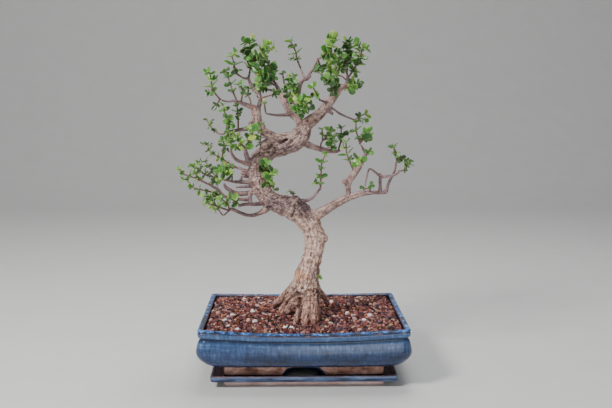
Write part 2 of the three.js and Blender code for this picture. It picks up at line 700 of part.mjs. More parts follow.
// Points spread over a leaf, for keeping leaves apart
function leafSamples({ foot, along, side, length }) {
  const list = [];
  for (const t of [0.2, 0.33, 0.46, 0.58, 0.7, 0.82, 0.95]) {
    const w = halfWidth(t) * length * LEAF_WIDTH;
    for (const s of [-1, -0.6, -0.2, 0.2, 0.6, 1]) {
      list.push(foot.clone().addScaledVector(along, t * length).addScaledVector(side, s * w));
    }
  }
  return list;
}

// Points along a path with the radius there
function pathSamples(path, r0, r1, step) {
  const list = [];
  for (let i = 0; i + 1 < path.length; i++) {
    const count = Math.max(1, Math.ceil(path[i].distanceTo(path[i + 1]) / step));
    for (let k = 0; k <= count; k++) {
      const t = (i + k / count) / (path.length - 1);
      list.push({ p: path[i].clone().lerp(path[i + 1], k / count), r: r0 + (r1 - r0) * t });
    }
  }
  return list;
}

const woodSamples = [TRUNK, ...roots, ...limbs].flatMap((points) => points.slice(0, -1).flatMap((a, i) => {
  const b = points[i + 1];
  const count = Math.max(1, Math.ceil(Math.hypot(b[0] - a[0], b[1] - a[1], b[2] - a[2]) / 2));
  return Array.from({ length: count + 1 }, (_, k) => {
    const m = a.map((v, j) => v + (b[j] - v) * k / count);
    return { p: V(m[0], m[1], m[2]), r: m[3] };
  });
}));

const pointAt = (path, s) => {
  let left = s;
  let i = 0;
  while (i < path.length - 2 && left > path[i].distanceTo(path[i + 1])) {
    left -= path[i].distanceTo(path[i + 1]);
    i += 1;
  }
  const along = path[i + 1].clone().sub(path[i]).normalize();
  return path[i].clone().addScaledVector(along, left);
};

// A stem's path with a short straight stretch at each pair of leaves
function stemWithNodes(name, [pairs, leaf, first, points]) {
  const path = points.map(([x, y, z]) => V(x, y, z));
  const marks = [0];
  for (let i = 1; i < path.length; i++) marks.push(marks[i - 1] + path[i].distanceTo(path[i - 1]));
  const total = marks[marks.length - 1];
  const start = first * total;
  const count = Math.min(pairs, Math.floor((total - NODE_H - start) / NODE_STEP) + 1);
  const lows = Array.from({ length: count }, (_, k) => (
    count === 1 ? total - NODE_H : start + (total - NODE_H - start) * k / (count - 1)));
  const plain = marks.slice(0, -1).filter((m) => m < start - 2);
  const stops = [
    ...plain.map((s) => [s, -1]), ...lows.map((s, k) => [s, k]), ...lows.map((s) => [s + NODE_H, -1]),
  ].sort((a, b) => a[0] - b[0]);
  const fine = stops.map(([s]) => pointAt(path, s));
  return {
    name, leaf, count, fine, node: stops.map(([, k]) => k), frames: framesAlong(fine), leaves: {},
    radius: stops.map(([s]) => STEM_R + (STEM_TIP_R - STEM_R) * s / total),
    samples: pathSamples(path, STEM_R, STEM_TIP_R, 1.2),
  };
}

const stems = Object.entries(SPRAYS).flatMap(([name, list]) => list.map((row) => stemWithNodes(name, row)));

const leaves = [];

// Turns about the stem, with the leaf's size, that a leaf tries until it has room
const LEAF_TRIES = [[0, 1], [0.4, 0.95], [-0.4, 0.95], [0.7, 0.85], [-0.7, 0.85], [0.2, 0.68]];

// True where a leaf keeps clear of wood, of other sprays and of its own spray's other leaves
function fits(leaf) {
  const samples = leafSamples(leaf);
  const near = (p, q, d) => Math.abs(p.x - q.x) < d && Math.abs(p.y - q.y) < d && Math.abs(p.z - q.z) < d
    && p.distanceTo(q) < d;
  const outer = samples.slice(12);
  if (outer.some((p) => woodSamples.some((w) => near(p, w.p, w.r + 0.9)))) return false;
  for (const stem of stems) {
    if (stem.name === leaf.name) continue;
    if (samples.some((p) => stem.samples.some((w) => near(p, w.p, w.r + 1.9)))) return false;
  }
  for (const other of leaves) {
    if (other.foot.distanceTo(leaf.foot) > 34) continue;
    if (other.name !== leaf.name) {
      if (samples.some((p) => other.samples.some((q) => near(p, q, CLEAR)))) return false;
    } else if (other.node !== leaf.node) {
      if (outer.some((p) => other.samples.slice(12).some((q) => near(p, q, 1.7)))) return false;
    }
  }
  leaf.samples = samples;
  return true;
}

// Leaves stand in crossed pairs up each stem, a smaller pair at its tip
function growLeaves(stem) {
  stem.turn = random() * 1.2 - 0.6;
  stem.node.forEach((k, i) => {
    if (k < 0) return;
    const foot = stem.fine[i].clone().lerp(stem.fine[i + 1], 0.5);
    const { along, across, over } = stem.frames[i];
    for (const side of [0, 1]) {
      const wall = (k % 2) + side * 2;
      const jitter = random() * 0.5 - 0.25;
      const lift = (k === stem.count - 1 ? 0.3 : 0.1) + random() * 0.55;
      const roll = random() * 1.3 - 0.65;
      const size = stem.leaf * (k === stem.count - 1 ? 0.75 : 0.92) * (0.88 + random() * 0.3);
      for (const [swing, scale] of LEAF_TRIES) {
        const spin = stem.turn + wall * Math.PI / 2 + jitter + swing;
        const out = across.clone().multiplyScalar(Math.cos(spin)).addScaledVector(over, Math.sin(spin));
        const dir = out.clone().multiplyScalar(Math.cos(lift)).addScaledVector(along, Math.sin(lift));
        const flat = along.clone().addScaledVector(dir, -along.dot(dir)).normalize();
        const edge = flat.clone().cross(dir);
        const face = flat.clone().multiplyScalar(Math.cos(roll)).addScaledVector(edge, Math.sin(roll));
        const leaf = {
          name: stem.name, node: `${stems.indexOf(stem)}_${k}`, foot,
          along: dir, side: dir.clone().cross(face), face, length: size * scale,
        };
        if (fits(leaf)) {
          leaves.push(leaf);
          stem.leaves[`${i}_${wall}`] = leaf;
          break;
        }
      }
    }
  });
}

stems.forEach(growLeaves);

// Four-sided stem whose leaves grow out of its walls at the nodes
function leafyStem(stem) {
  const points = [];
  const faces = [];
  const count = stem.fine.length;
  stem.fine.forEach((p, i) => {
    const { across, over } = stem.frames[i];
    for (let k = 0; k < 4; k++) {
      const t = stem.turn + (k - 0.5) * Math.PI / 2;
      points.push(p.clone().addScaledVector(across, stem.radius[i] * Math.cos(t))
        .addScaledVector(over, stem.radius[i] * Math.sin(t)));
    }
  });
  for (let i = 0; i + 1 < count; i++) {
    for (let k = 0; k < 4; k++) {
      const a = i * 4 + k;
      const b = i * 4 + (k + 1) % 4;
      const leaf = stem.leaves[`${i}_${k}`];
      if (leaf) addLeaf(points, faces, leaf, a, b, b + 4, a + 4);
      else faces.push(a, b, b + 4, a, b + 4, a + 4);
    }
  }
  const end = (count - 1) * 4;
  faces.push(0, 2, 1, 0, 3, 2);
  points.push(stem.fine[count - 1].clone().addScaledVector(stem.frames[count - 1].along, 0.8));
  for (let k = 0; k < 4; k++) faces.push(points.length - 1, end + k, end + (k + 1) % 4);
  return solid(points, faces);
}

// Leaf blade grown out of a stem's wall with corners a, b below and c, d above
function addLeaf(points, faces, { foot, along, side, face, length }, a, b, c, d) {
  const at = (t, s, h) => foot.clone().addScaledVector(along, t * length)
    .addScaledVector(side, s * length * LEAF_WIDTH).addScaledVector(face, h);
  const n = points.length;
  const [, [t1, w1], [t2, w2]] = OUTLINE;
  const half = length < SMALL_LEAF ? [[0.62, 0.46]] : [[t1, w1], [t2, w2]];
  const outline = [...half, [1, 0], ...half.map(([t, w]) => [t, -w]).reverse()];
  points.push(...outline.map(([t, w]) => at(t, w, 0)));
  points.push(at(0.55, 0, LEAF_THICK / 2), at(0.55, 0, -LEAF_THICK / 2));
  const rim = outline.map((_, i) => n + i);
  const end = n + outline.length;
  const top = [d, ...rim, c];
  const under = [a, ...rim, b];
  top.forEach((p, i) => faces.push(p, top[(i + 1) % top.length], end));
  under.forEach((p, i) => faces.push(under[(i + 1) % top.length], p, end + 1));
  faces.push(a, n, d, c, end - 1, b);
}

// Small eight-faced knuckle where the stems of a spray meet
function knuckle(p) {
  const r = KNUCKLE_R;
  const ring = [V(r, 0, 0), V(0, r, 0), V(-r, 0, 0), V(0, -r, 0)].map((q) => q.add(p));
  return loft([ring], p.clone().add(V(0, 0, -r)), p.clone().add(V(0, 0, r)));
}

// Thin stem with its leaves fused on, cut clear of the wood that it grows from
function makeSpray(name, woodRoom) {
  const own = stems.filter((s) => s.name === name);
  const parts = own.map(leafyStem);
  if (own.length > 1) parts.push(knuckle(own[0].fine[0]));
  return main(unite(parts).subtract(woodRoom));
}

const LOOKS = {
  tray: { color: 0x2c4468, roughness: 0.2 },
  pot: { color: 0x4a6c96, roughness: 0.25 },
  net: { color: 0x1d1f1e, roughness: 0.6 },
  soil: { color: 0x7c4336, roughness: 0.95 },
  wood: { color: 0x8d7466, roughness: 0.9 },
  leaf: { color: 0x7fa23c, roughness: 0.4 },
};

const object = new THREE.Group();

function put(name, body, look) {
  const { vertProperties, triVerts } = body.getMesh();
  const geometry = new THREE.BufferGeometry();
  geometry.setAttribute('position', new THREE.BufferAttribute(Float32Array.from(vertProperties), 3));
  geometry.setIndex(new THREE.BufferAttribute(Uint32Array.from(triVerts), 1));
  const mesh = new THREE.Mesh(geometry, new THREE.MeshStandardMaterial({ metalness: 0, ...LOOKS[look] }));
  mesh.name = name;
  object.add(mesh);
}

const wood = makeWood(0);
const woodRoom = makeWood(0.35);

put('drip_tray', makeTray(), 'tray');
put('pot', makePot(), 'pot');
put('drainage_mesh_left', makeDrainMesh(-DRAIN_X), 'net');
put('drainage_mesh_right', makeDrainMesh(DRAIN_X), 'net');
put('soil', makeSoil(woodRoom, [-DRAIN_X, DRAIN_X]), 'soil');
put('bonsai_wood', wood, 'wood');
for (const name of Object.keys(SPRAYS)) put(`spray_${name}`, makeSpray(name, woodRoom), 'leaf');

export default object;
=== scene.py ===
import json
import math
import random

import bmesh
import bpy
import numpy as np
from mathutils import Matrix, Vector, kdtree, noise
from numpy.linalg import norm

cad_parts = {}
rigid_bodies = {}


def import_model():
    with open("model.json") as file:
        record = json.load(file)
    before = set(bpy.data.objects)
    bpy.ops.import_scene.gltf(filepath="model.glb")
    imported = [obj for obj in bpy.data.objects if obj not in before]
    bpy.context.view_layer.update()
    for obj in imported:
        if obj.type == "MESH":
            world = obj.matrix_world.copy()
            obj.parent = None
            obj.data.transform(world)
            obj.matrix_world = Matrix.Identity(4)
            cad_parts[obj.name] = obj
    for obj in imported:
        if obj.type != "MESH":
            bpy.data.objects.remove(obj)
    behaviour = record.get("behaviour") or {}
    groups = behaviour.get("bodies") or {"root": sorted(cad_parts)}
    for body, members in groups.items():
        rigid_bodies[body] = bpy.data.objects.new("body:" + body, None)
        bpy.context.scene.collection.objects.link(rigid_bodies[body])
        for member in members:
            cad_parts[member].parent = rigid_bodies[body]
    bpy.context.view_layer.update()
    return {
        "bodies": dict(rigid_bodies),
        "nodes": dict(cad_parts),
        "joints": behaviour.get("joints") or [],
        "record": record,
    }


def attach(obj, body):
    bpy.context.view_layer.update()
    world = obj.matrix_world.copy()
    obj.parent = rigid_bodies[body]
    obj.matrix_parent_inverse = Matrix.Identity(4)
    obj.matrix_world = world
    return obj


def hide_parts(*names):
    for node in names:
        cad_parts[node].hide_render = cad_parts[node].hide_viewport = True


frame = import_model()

MM = 0.001
TURN = 2 * math.pi

# Sizes in millimetres, shared with the solids
GAP = 0.3
POT_FOOT_Z, POT_FOOT_Y, POT_FOOT_W = 11.3, 67.5, 11
POT_UNDER_Z, POT_FLOOR_Z = 22, 31
POT_RIM_X, POT_RIM_Y, POT_RIM_W, POT_BOW = 129, 98.6, 6.4, 7
ARCH_W, ARCH_H = 50, 9.5
DRAIN_X, DRAIN_R = 48, 9
MESH_SIZE, MESH_T = 30, 1.2
SOIL_Z, SOIL_MOUND = 72.5, 3.5
LEAF_WIDTH, STEM_R, STEM_TIP_R = 0.84, 1.15, 0.8
KNUCKLE_R, NODE_H, NODE_STEP, TRIM, CLEAR = 1.9, 1.8, 7.4, 2.2, 2.3
OUTLINE = ((0, 0.08), (0.36, 0.3), (0.72, 0.5), (1, 0))

# Sizes in millimetres and numbers of the finer forms
SHARP = math.radians(42)  # edges of the pot that bend more than this stay crisp
NET_BARS, NET_BAR = 9, 0.9
GRAIN_WIDTHS, GRAIN_TRIES = (2.5, 3.0, 3.6, 4.3, 5.0, 5.9), 30000
TRUNK_STEP, STOUT = 0.97, 3.4  # mesh step of the trunk's skin, radius from which a limb is part of it
WOOD_ROOM, STEM_ROOM, PAIR_ROOM = 0.9, 1.9, 1.7  # between a leaf and wood, stems and the other pairs of its stem
WOOD_REACH, LEAF_REACH = 45, 34  # how far off wood and leaves are looked at
PLACE_SEED, GRAIN_SEED, LEAF_SEED, SPROUT_SEED = 731, 99, 5, 8

# Width and focal length of the photograph in pixels, and how far the camera looks down and to the right
WIDTH, FOCAL, DOWN, RIGHT = 612, 850, 107.3, 15.4


def table(text, width, lead=0):
    """Rows of a text: a name, so many leading numbers, then points of so many numbers each."""
    rows = []
    for line in text.replace("\n ", " ").strip().splitlines():
        name, *numbers = line.split()
        numbers = [float(n) for n in numbers]
        rows.append((name, numbers[:lead], [numbers[i:i + width] for i in range(lead, len(numbers), width)]))
    return rows


# Wood from its start to its tip: x, y, z and radius
TRUNK = table("""
trunk 7 -30 58 18 6 -29 82 16 5 -28 97 16 3 -27 112 17 4 -26 125 16.4 8 -25 140 14 12 -24 154 12 14.5 -22 166 12.2
 14.5 -20 176 12.6 12 -18 186 13.2 5 -16 197 14.5 -5 -14 208 14.5 -18 -12 215 13 -32 -9 219 11.5 -45 -6 226 11.5 -53
 -4 237 11.5 -59 -3 249 11 -60 -3 261 10 -58 -4 273 11 -50 -6 282 11.5 -37 -8 288 11 -23 -10 292 10.5 -10 -12 299 12
 -2 -14 309 11 3 -15 319 8.5
""", 4)[0][2]
ROOTS = [points for *_, points in table("""
left_back -2 -26 122 9.5 -13 -17 109 7.6 -23 0 96 5.8 -33 20 83 4.4 -41 34 71 3.2
left -2 -27 108 9 -11 -23 98 8 -19 -18 88 7.6 -25 -14 79 6.8 -30 -11 68 4.8
small 1 -30 98 5.4 -4 -40 90 3.8 -8 -48 81 3.4 -11 -54 73 3.2 -13 -58 63 2.4
front_left 4 -30 104 10 4 -40 93 8.4 3 -50 83 6.6 2 -58 74 5.4 1 -64 64 4.4
front_right 9 -29 104 10 11 -39 93 7.8 12 -48 83 6.8 13 -55 74 6 14 -60 64 4.8
right_back 11 -25 116 9 18 -10 106 6 25 10 95 4.4 31 27 84 3.6 35 39 71 2.9
back 6 -24 108 10 8 -12 95 8 10 2 84 6 12 15 75 4.6 13 23 67 3.6
""", 4)]
LIMBS = [points for *_, points in table("""
low_right 10 -16 201 9.5 24 -21 210 6.6 53 -31 228 4.8 78 -39 236 3.2 100 -46 237 2.2
low_right_riser 100 -46 237 2.2 103 -45 241 2.2 105 -44 248 1.7 113 -40 264 1.5 116 -38 277 1.3
low_right_post 95 -44 236 2.3 94 -50 261 1.7
low_right_bar 94 -49 257 1.8 108 -54 259 1.4 113 -56 261 1.3 117 -58 265 1.3
low_right_arch 94 -49 258 1.5 82 -54 267 1.3 78 -55 262 1.1 75 -60 247 1
right_upright 56 -32 228 3.7 56 -35 237 3 56 -40 250 4.3 67 -48 267 3.6 75 -56 284 2.4 74 -57 289 1.9 68 -62 299 1.1
right_upright_knob 56 -40 250 3 50 -46 251 3
mid_right -4 -13 299 6.3 1 -9 297 4.8 9 -5 293 4.2 27 6 287 3.3 43 15 284 2.5 48 18 286 2
inner_shoot -9 -13 220 4.4 -2 -19 224 2.8 5 -24 225 2.2 12 -30 230 1.9 21 -40 242 1.7
trunk_boss -9 -13 216 10.2 -12 -24 225 7.6
trunk_knob 15 -20 176 9.5 23 -21 176 7.2 26 -22 176 5
bottom_left -43 -7 220 6.3 -47 -13 213 4.8 -54 -20 209 3.2 -62 -27 207 2.5 -72 -34 208 2.4 -88 -49 217 2.3 -92 -52 216
 1.9
lower_left -48 -6 223 5.1 -56 -18 220 2.9 -74 -40 222 2.2 -80 -48 221 1.8
left_tie -67 -31 221 2.4 -67 -22 236 3
left_thick -61 -4 235 5.1 -68 -7 233 3.3 -77 -10 232 3 -86 -13 233 2.9 -98 -18 241 2.4 -100 -20 246 1.8
left_far -67 -27 227 2.5 -77 -30 227 2 -97 -36 231 2 -107 -40 241 1.8 -118 -44 248 1.4
left_stub -62 -3 241 2.3 -85 -16 241 1.3
left_mid -61 -3 246 3.8 -87 3 246 2.2 -101 6 248 1.7
left_link -62 -3 254 3 -71 -1 253 1.9 -78 0 253 1.9 -81 2 246 1.8
left_knob -63 -3 258 3.8 -72 -6 258 2.9 -78 -8 259 3
left_knob_upper -62 -4 270 4.3 -74 -14 271 3
left_long -63 -3 260 3 -71 7 260 2 -88 28 263 1.8
left_rise -72 -12 271 2.5 -84 -20 276 2.2 -90 -26 285 1.8 -90 -30 292 1.4
left_stem -63 -4 268 4.3 -68 -9 272 3.7 -71 -15 279 3.2 -73 -21 288 2.7 -72 -26 294 2
upper_strand -4 -14 308 6.3 -13 -15 307 4.7 -32 -17 305 4.4 -42 -18 308 5 -50 -19 312 6 -55 -20 319 6.4 -58 -20 326
 6.2 -58.5 -21 334 5.9 -61 -22 341 4.8
strand_web -51 -9 292 6 -45 -13 298 5.6 -34 -14 302 4.4
strand_knob -59 -20 321 3.3 -67 -26 322 2.8
left_arm -58 -20 317 3.8 -99 16 310 1.5
crown_left -58 -21 336 4.1 -55 -16 345 2.9 -54 -12 353 2.7 -56 -9 358 2.5 -65 -3 368 2.3 -69 3 378 1.9 -68 6 385 1.7
crown_left_side -69 3 378 1.5 -74 -5 378 1.3 -78 -12 380 1.1
crown_arm -61 -22 341 3.6 -84 -35 350 1.9 -90 -39 349 1.4 -98 -43 350 1.3 -102 -46 352 1.1
centre_left -3 -14 316 5.6 -7 -7 326 4.6 -19 4 339 4.4 -37 30 375 2.3
centre_left_side -29 20 361 2.2 -45 14 364 1.4
centre_left_low -13 -1 333 3.6 -30 -17 332 2 -45 -30 334 1.4 -47 -34 337 1.1
centre_left_thin -20 7 343 1.8 -21 8 365 1.1 -24 8 372 1
centre_up -2 -14 315 5.3 -5 -16 325 3.8 -7 -19 345 2.9 -4 -24 371 2.9 6 -26 380 2 18 -30 401 1.4
centre_up_knob 4 -25 377 2 8 -32 380 1.7
centre_whip 2 -25 376 1.7 -3 -10 390 1.1
upper_right 0 -14 312 9.7 3 -15 319 8.6 19 -16 332 6.7 32 -17 347 6.1 42 -17 361 5.2 47 -18 366 4.1 51 -18 368 2.9
upper_right_stub 29 -16 340 3 36 -26 334 2
upper_right_thin 31 -16 343 2.3 39 -11 339 1.4 48 -3 333 1.3 67 10 325 1.1
upper_right_side 31 -17 347 1.8 20 -38 351 1.1
upper_right_riser 50 -18 367 2.4 53 -19 369 1.9 55 -24 379 1.5 54 -26 384 1.4
""", 4)]
# Leafy stems of each shoot: most pairs of leaves, leaf length, share of bare foot, then the stem's x, y, z
STEMS = table("""
left_hook 4 9 .35 -92 -52 216 -119 -66 228
left_hook 2 9.5 .8 -92 -52 216 -96 -49 212 -101 -46 210 -110 -38 219 -112 -34 226
left_hook 3 11.5 .45 -92 -52 216 -92 -57 223 -96 -62 229 -100 -66 232
left_low_big 3 14 .35 -79 -46 221 -82 -51 226 -91 -62 233
left_low_spread 4 11.5 .3 -97 -36 231 -123 -54 234
left_low_spread 4 8 .4 -97 -36 231 -108 -31 235 -130 -23 239 -138 -20 239 -148 -14 251
left_tip 4 8 .35 -118 -44 248 -135 -50 257 -147 -53 261 -152 -56 268
left_tip 4 9.5 .35 -118 -44 248 -127 -40 252 -133 -36 258 -138 -30 269
left_tip 2 9 .5 -118 -44 248 -105 -62 257
left_fan 4 9 .3 -101 6 248 -109 9 250 -116 12 255 -128 20 272
left_fan 4 9.5 .3 -109 9 250 -126 0 256 -137 -8 266
left_inner 4 11 .3 -92 4 247 -91 -2 253 -95 -9 259 -105 -22 262
left_long_tip 5 8 .35 -88 28 263 -123 45 282 -128 50 292
left_long_tip 4 10.5 .2 -88 28 263 -93 23 262 -105 11 265 -110 6 262
left_long_tip 4 9 .3 -107 37 274 -103 28 293 -105 24 300
left_rise_tip 4 11 .25 -90 -30 292 -92 -22 310
left_rise_tip 2 9.5 .5 -90 -30 292 -79 -46 295
left_stem_side 3 8.5 .35 -73 -24 291 -84 -50 307
left_stem_big 4 15 .2 -72 -26 294 -65 -37 304 -63 -44 311 -64 -48 315
trunk_fork_front 4 11 .3 -52 -6 285 -55 -15 297 -52 -27 313 -53 -34 321
trunk_front 4 13.5 .3 -55 -4 241 -50 -14 244 -44 -26 250 -38 -50 263
trunk_front 2 8.5 .5 -50 -14 244 -45 -18 245 -41 -24 243 -36 -30 239
trunk_front_upper 3 11.5 .4 -59 -3 259 -51 -17 263 -48 -25 267 -47 -34 273
trunk_top 2 7 .6 -12 -23 224 -13 -26 234
left_arm_tip 4 7.5 .45 -99 16 310 -103 18 307 -109 21 307 -117 26 313 -121 29 317 -124 32 323 -127 34 325
left_arm_tip 4 10.5 .3 -99 16 310 -95 4 317 -93 -9 324 -94 -18 330
left_arm_tip 3 11.5 .35 -99 16 310 -90 -2 303 -95 -12 301
left_arm_tip 3 10.5 .5 -99 16 310 -99 19 325 -104 22 345
left_arm_whip 3 9 .5 -83 2 313 -82 -11 332 -83 -20 344
crown_left_top 5 13 .15 -68 6 385 -66 8 401 -68 10 423
crown_left_top 4 13 .25 -67 7 394 -64 2 399 -46 -14 414
crown_left_big 4 13.5 .2 -78 -12 380 -84 -12 384 -89 -14 406
crown_left_low 2 13 .75 -54 -12 353 -36 -30 358
crown_arm_tip 4 11 .3 -102 -46 352 -109 -50 361 -111 -52 367 -112 -58 383
crown_arm_tip 2 10.5 .6 -102 -46 352 -107 -34 345
crown_arm_back 4 9.5 .3 -82 -35 350 -88 -29 363 -92 -23 376 -98 -18 387
crown_arm_front 3 10.5 .6 -77 -32 348 -74 -41 361 -75 -45 367 -78 -48 370
crown_arm_inner 3 9 .6 -65 -24 342 -66 -20 350 -71 -13 361 -69 -10 366
centre_left_top 4 13 .35 -37 30 375 -40 21 390 -50 12 403
centre_left_top 4 12 .35 -37 30 375 -41 21 379 -47 10 382 -54 -2 383
centre_left_fan 4 12 .3 -35 26 369 -43 33 373 -51 39 375 -58 44 374
centre_left_side_tip 4 11.5 .25 -45 14 364 -55 0 365 -58 -6 368
centre_left_thin_tip 3 9.5 .4 -24 8 372 -26 6 384
centre_left_low_tip 3 8.5 .4 -47 -34 337 -48 -42 348
centre_whip_tip 4 11 .3 -3 -10 390 -8 -15 402 -9 -18 409 -13 -22 419 -16 -24 423
centre_up_left 4 9.5 .35 -6 -21 356 -12 -37 368 -13 -44 374
centre_up_low 4 9.5 .3 -6 -19 342 -12 -15 346 -15 -10 352 -17 0 366
centre_up_right 4 10.5 .35 -6 -18 336 0 -15 340 7 -10 348
centre_up_front 4 11.5 .3 -5 -17 328 -4 -35 342 -1 -46 350
centre_crown 5 12 .2 18 -30 401 28 -35 406 35 -44 422
centre_crown 2 11.5 .6 18 -30 401 21 -22 392
upper_right_side_tip 4 10.5 .25 20 -38 351 11 -50 367
upper_right_thin_tip 3 12 .35 67 10 325 75 14 331 81 16 333
upper_right_outer 4 12 .25 55 -23 377 69 -32 399 72 -38 413
upper_right_top 4 12 .3 54 -26 384 57 -10 423
upper_right_top 4 11.5 .35 54 -26 384 42 -48 407
upper_right_inner 4 13 .4 54 -22 375 49 -16 380 39 -8 383 35 -3 389 34 2 395
upper_right_low 4 12.5 .3 44 -18 362 30 -44 376
upper_right_edge 4 10.5 .3 49 -18 366 63 -1 367 71 10 372
right_top 4 9 .2 68 -62 299 63 -63 314 62 -64 320 63 -64 325
right_top 4 11 .35 68 -62 299 77 -44 308 79 -36 313
right_mid 2 8.5 .5 71 -59 292 75 -65 292 78 -72 290
right_low 2 14.5 .45 73 -54 280 69 -65 279 64 -78 281
right_shoot 4 13 .4 63 -45 261 53 -45 285 52 -44 300
mid_right_first 3 8 .6 23 4 289 23 2 295 25 0 299 24 -6 315
mid_right_first 3 9.5 .4 25 0 299 34 14 307 36 20 312
mid_right_second 4 11 .3 36 12 285 37 1 293 36 -16 305
mid_right_tip 4 10.5 .4 46 17 285 51 22 301 50 26 314
inner_shoot_tip 5 9.5 .08 21 -40 242 22 -44 273 25 -45 278 26 -46 284
low_right_top 4 9.5 .3 116 -38 277 111 -46 294
low_right_top 3 9 .4 116 -38 277 118 -34 280 123 -30 279 129 -24 275
low_right_side 4 8.5 .3 117 -58 265 122 -59 266 125 -61 269 128 -62 274
low_right_sprout 2 8.5 .55 82 -40 236 82 -56 247
low_right_sprout 2 8.5 .5 82 -50 243 78 -42 241 75 -34 241
""", 3, 3)
# Marks on the bark: reach, strength, then the line or spot that each follows. The dark creases are partly real joints
# and wrinkles and partly painted shadow in the gaps between the roots and beside the trunk; the dark mauve spots are
# painted shade in the crotches.
BARK_LINES = table("""
scar 4 1 -62.6 -27 342.3
scar 3 1 -64 -13 205
scar 3 1 50 -47 251
scar 3.4 1 51 -19 368
scar 3.6 1 -75 -15 271
scar 3.4 1 -79 -9 259
scar 3 1 -45 -24 217
scar 2 1 -1 -26 345
ochre 6.5 1 -9.5 -29.5 131.4 -4.5 -34.9 134 -.8 -40.4 130
ochre 5 1 -8.3 -33.7 127.1 4 -41.5 129
ochre 2.4 1 4 -38 217
fold 2.5 1 -8.4 -23 217 -11.2 -26.3 211.8 -13.1 -25.9 207.9 -15.1 -25.8 204
fold 2.8 .8 -44.9 -16.5 215.7 -42.4 -15.7 214.3
fold 2.2 .6 -4.3 -28.5 211.5 -3.4 -28.5 209.5
fold 2.6 .7 -2 -27 220 -6 -27 223
fold 1.9 .6 -51 -17.3 288 -44.5 -17.2 291.4 -39.5 -16.5 294.5
fold 2.2 1 -30 -17.2 297.8 -28.1 -17.4 298.6 -21 -18.9 301.3
fold 1.7 .42 4.5 -27.3 178.6 9.5 -30.9 178 14.5 -31.8 179.3 18 -31.6 178.6
fold 1.7 .34 8 -31 171.2 14 -32.2 172 17.1 -32.1 171.6 21 -31.2 173
fold 2 .42 -11.5 -32.8 120 -5.8 -37.3 122.7 -.8 -42.9 122.2 5 -43.6 122.6
fold 3.2 1 -5.8 -41.5 108.2 -9.6 -37.2 107.9 -13.4 -30.3 104.3 -17.2 -25.8 100 -23 -25 92
fold 3.4 1 -4.6 -40.9 102 -5.2 -40.3 95.7 -7.1 -41.5 92.1 -11 -36 87
fold 3.2 1 -3.4 -44.7 92.2 -3.4 -44.5 88.3 -4 -49 85.6 -4.7 -50.7 82.2
fold 4 1 20 -36 110 19 -34 103.6 19.4 -37 98.9 20.4 -40 93.9 20.4 -47 88
fold 2.9 .8 6.5 -57.1 84 6.4 -58.6 79.1 6.3 -64 76.7
dusk 18 1 -36 -16 222 -22 -20 217 -8 -24 222 2 -28 212
dusk 13 1 -34 -16 289 -16 -18 293
dusk 12 .8 -2 -20 305 -8 -22 315
dusk 6 .8 12 -32 204
""", 3, 2)
# Small burls on the trunk: x, y, z and radius
BURLS = table("""
burl 27.3 -22 176 4.6 -14 -26 92 6.2 -20.5 -21.5 84 6 3 -62 77 4.4 12 -60 76 4.2
""", 4)[0][2]
# Dressing of shoots: share of leaf pairs with a side twig, size of added leaves, leaf size, leaf width
DRESS = {name: shares for name, shares, _ in table("""
crown_left_top 1 .68 1 .84
centre_left_top 1 .66 1 .84
crown_left_big .7 .6 1 .82
centre_left_fan .9 .66 1 .84
centre_left_side_tip .6 .6 1 .8
centre_crown 1 .76 1 .86
upper_right_top 1 .72 1 .84
upper_right_inner 1 .68 1 .84
upper_right_outer .9 .75 1 .84
upper_right_low 1 .64 .95 .84
upper_right_edge .8 .7 1 .84
centre_up_left 1 .66 1 .8
centre_up_low 1 .66 1 .8
centre_up_right 1 .66 1 .8
centre_up_front 1 .64 1 .8
left_stem_big 0 .3 .94 .84
trunk_fork_front .2 .4 .8 .6
trunk_front 0 .4 .86 .76
left_low_big .1 .4 .9 .76
right_low 0 .4 .86 .76
left_arm_tip .5 .5 .92 .7
mid_right_first .6 .55 1 .74
mid_right_second .6 .55 .95 .76
right_shoot .2 .5 .9 .6
""", 1, 4)}
# Grains that stand out on the surface: x and y
MARKED_GRAINS = table("""
white -81.3 79.8 -66 3.8 -92.8 -9.3 -100.5 -35.1 -61.4 -43.7 -94 -63.6 -81.9 -78.3 -14.8 -72 -23.4 -73.4 40 56.7 57.3
 -6.6 76.9 -36.8 85.9 -16.1
tan 27.9 13.2 22.1 -72.6 -41.9 -12.7 107 -63
dark -32.6 -26.2 -95.2 -30.2 76.4 -12.2 75.3 -70.3 109.7 -28.9 107.3 -71.3 -39.8 -50.7
""", 2)
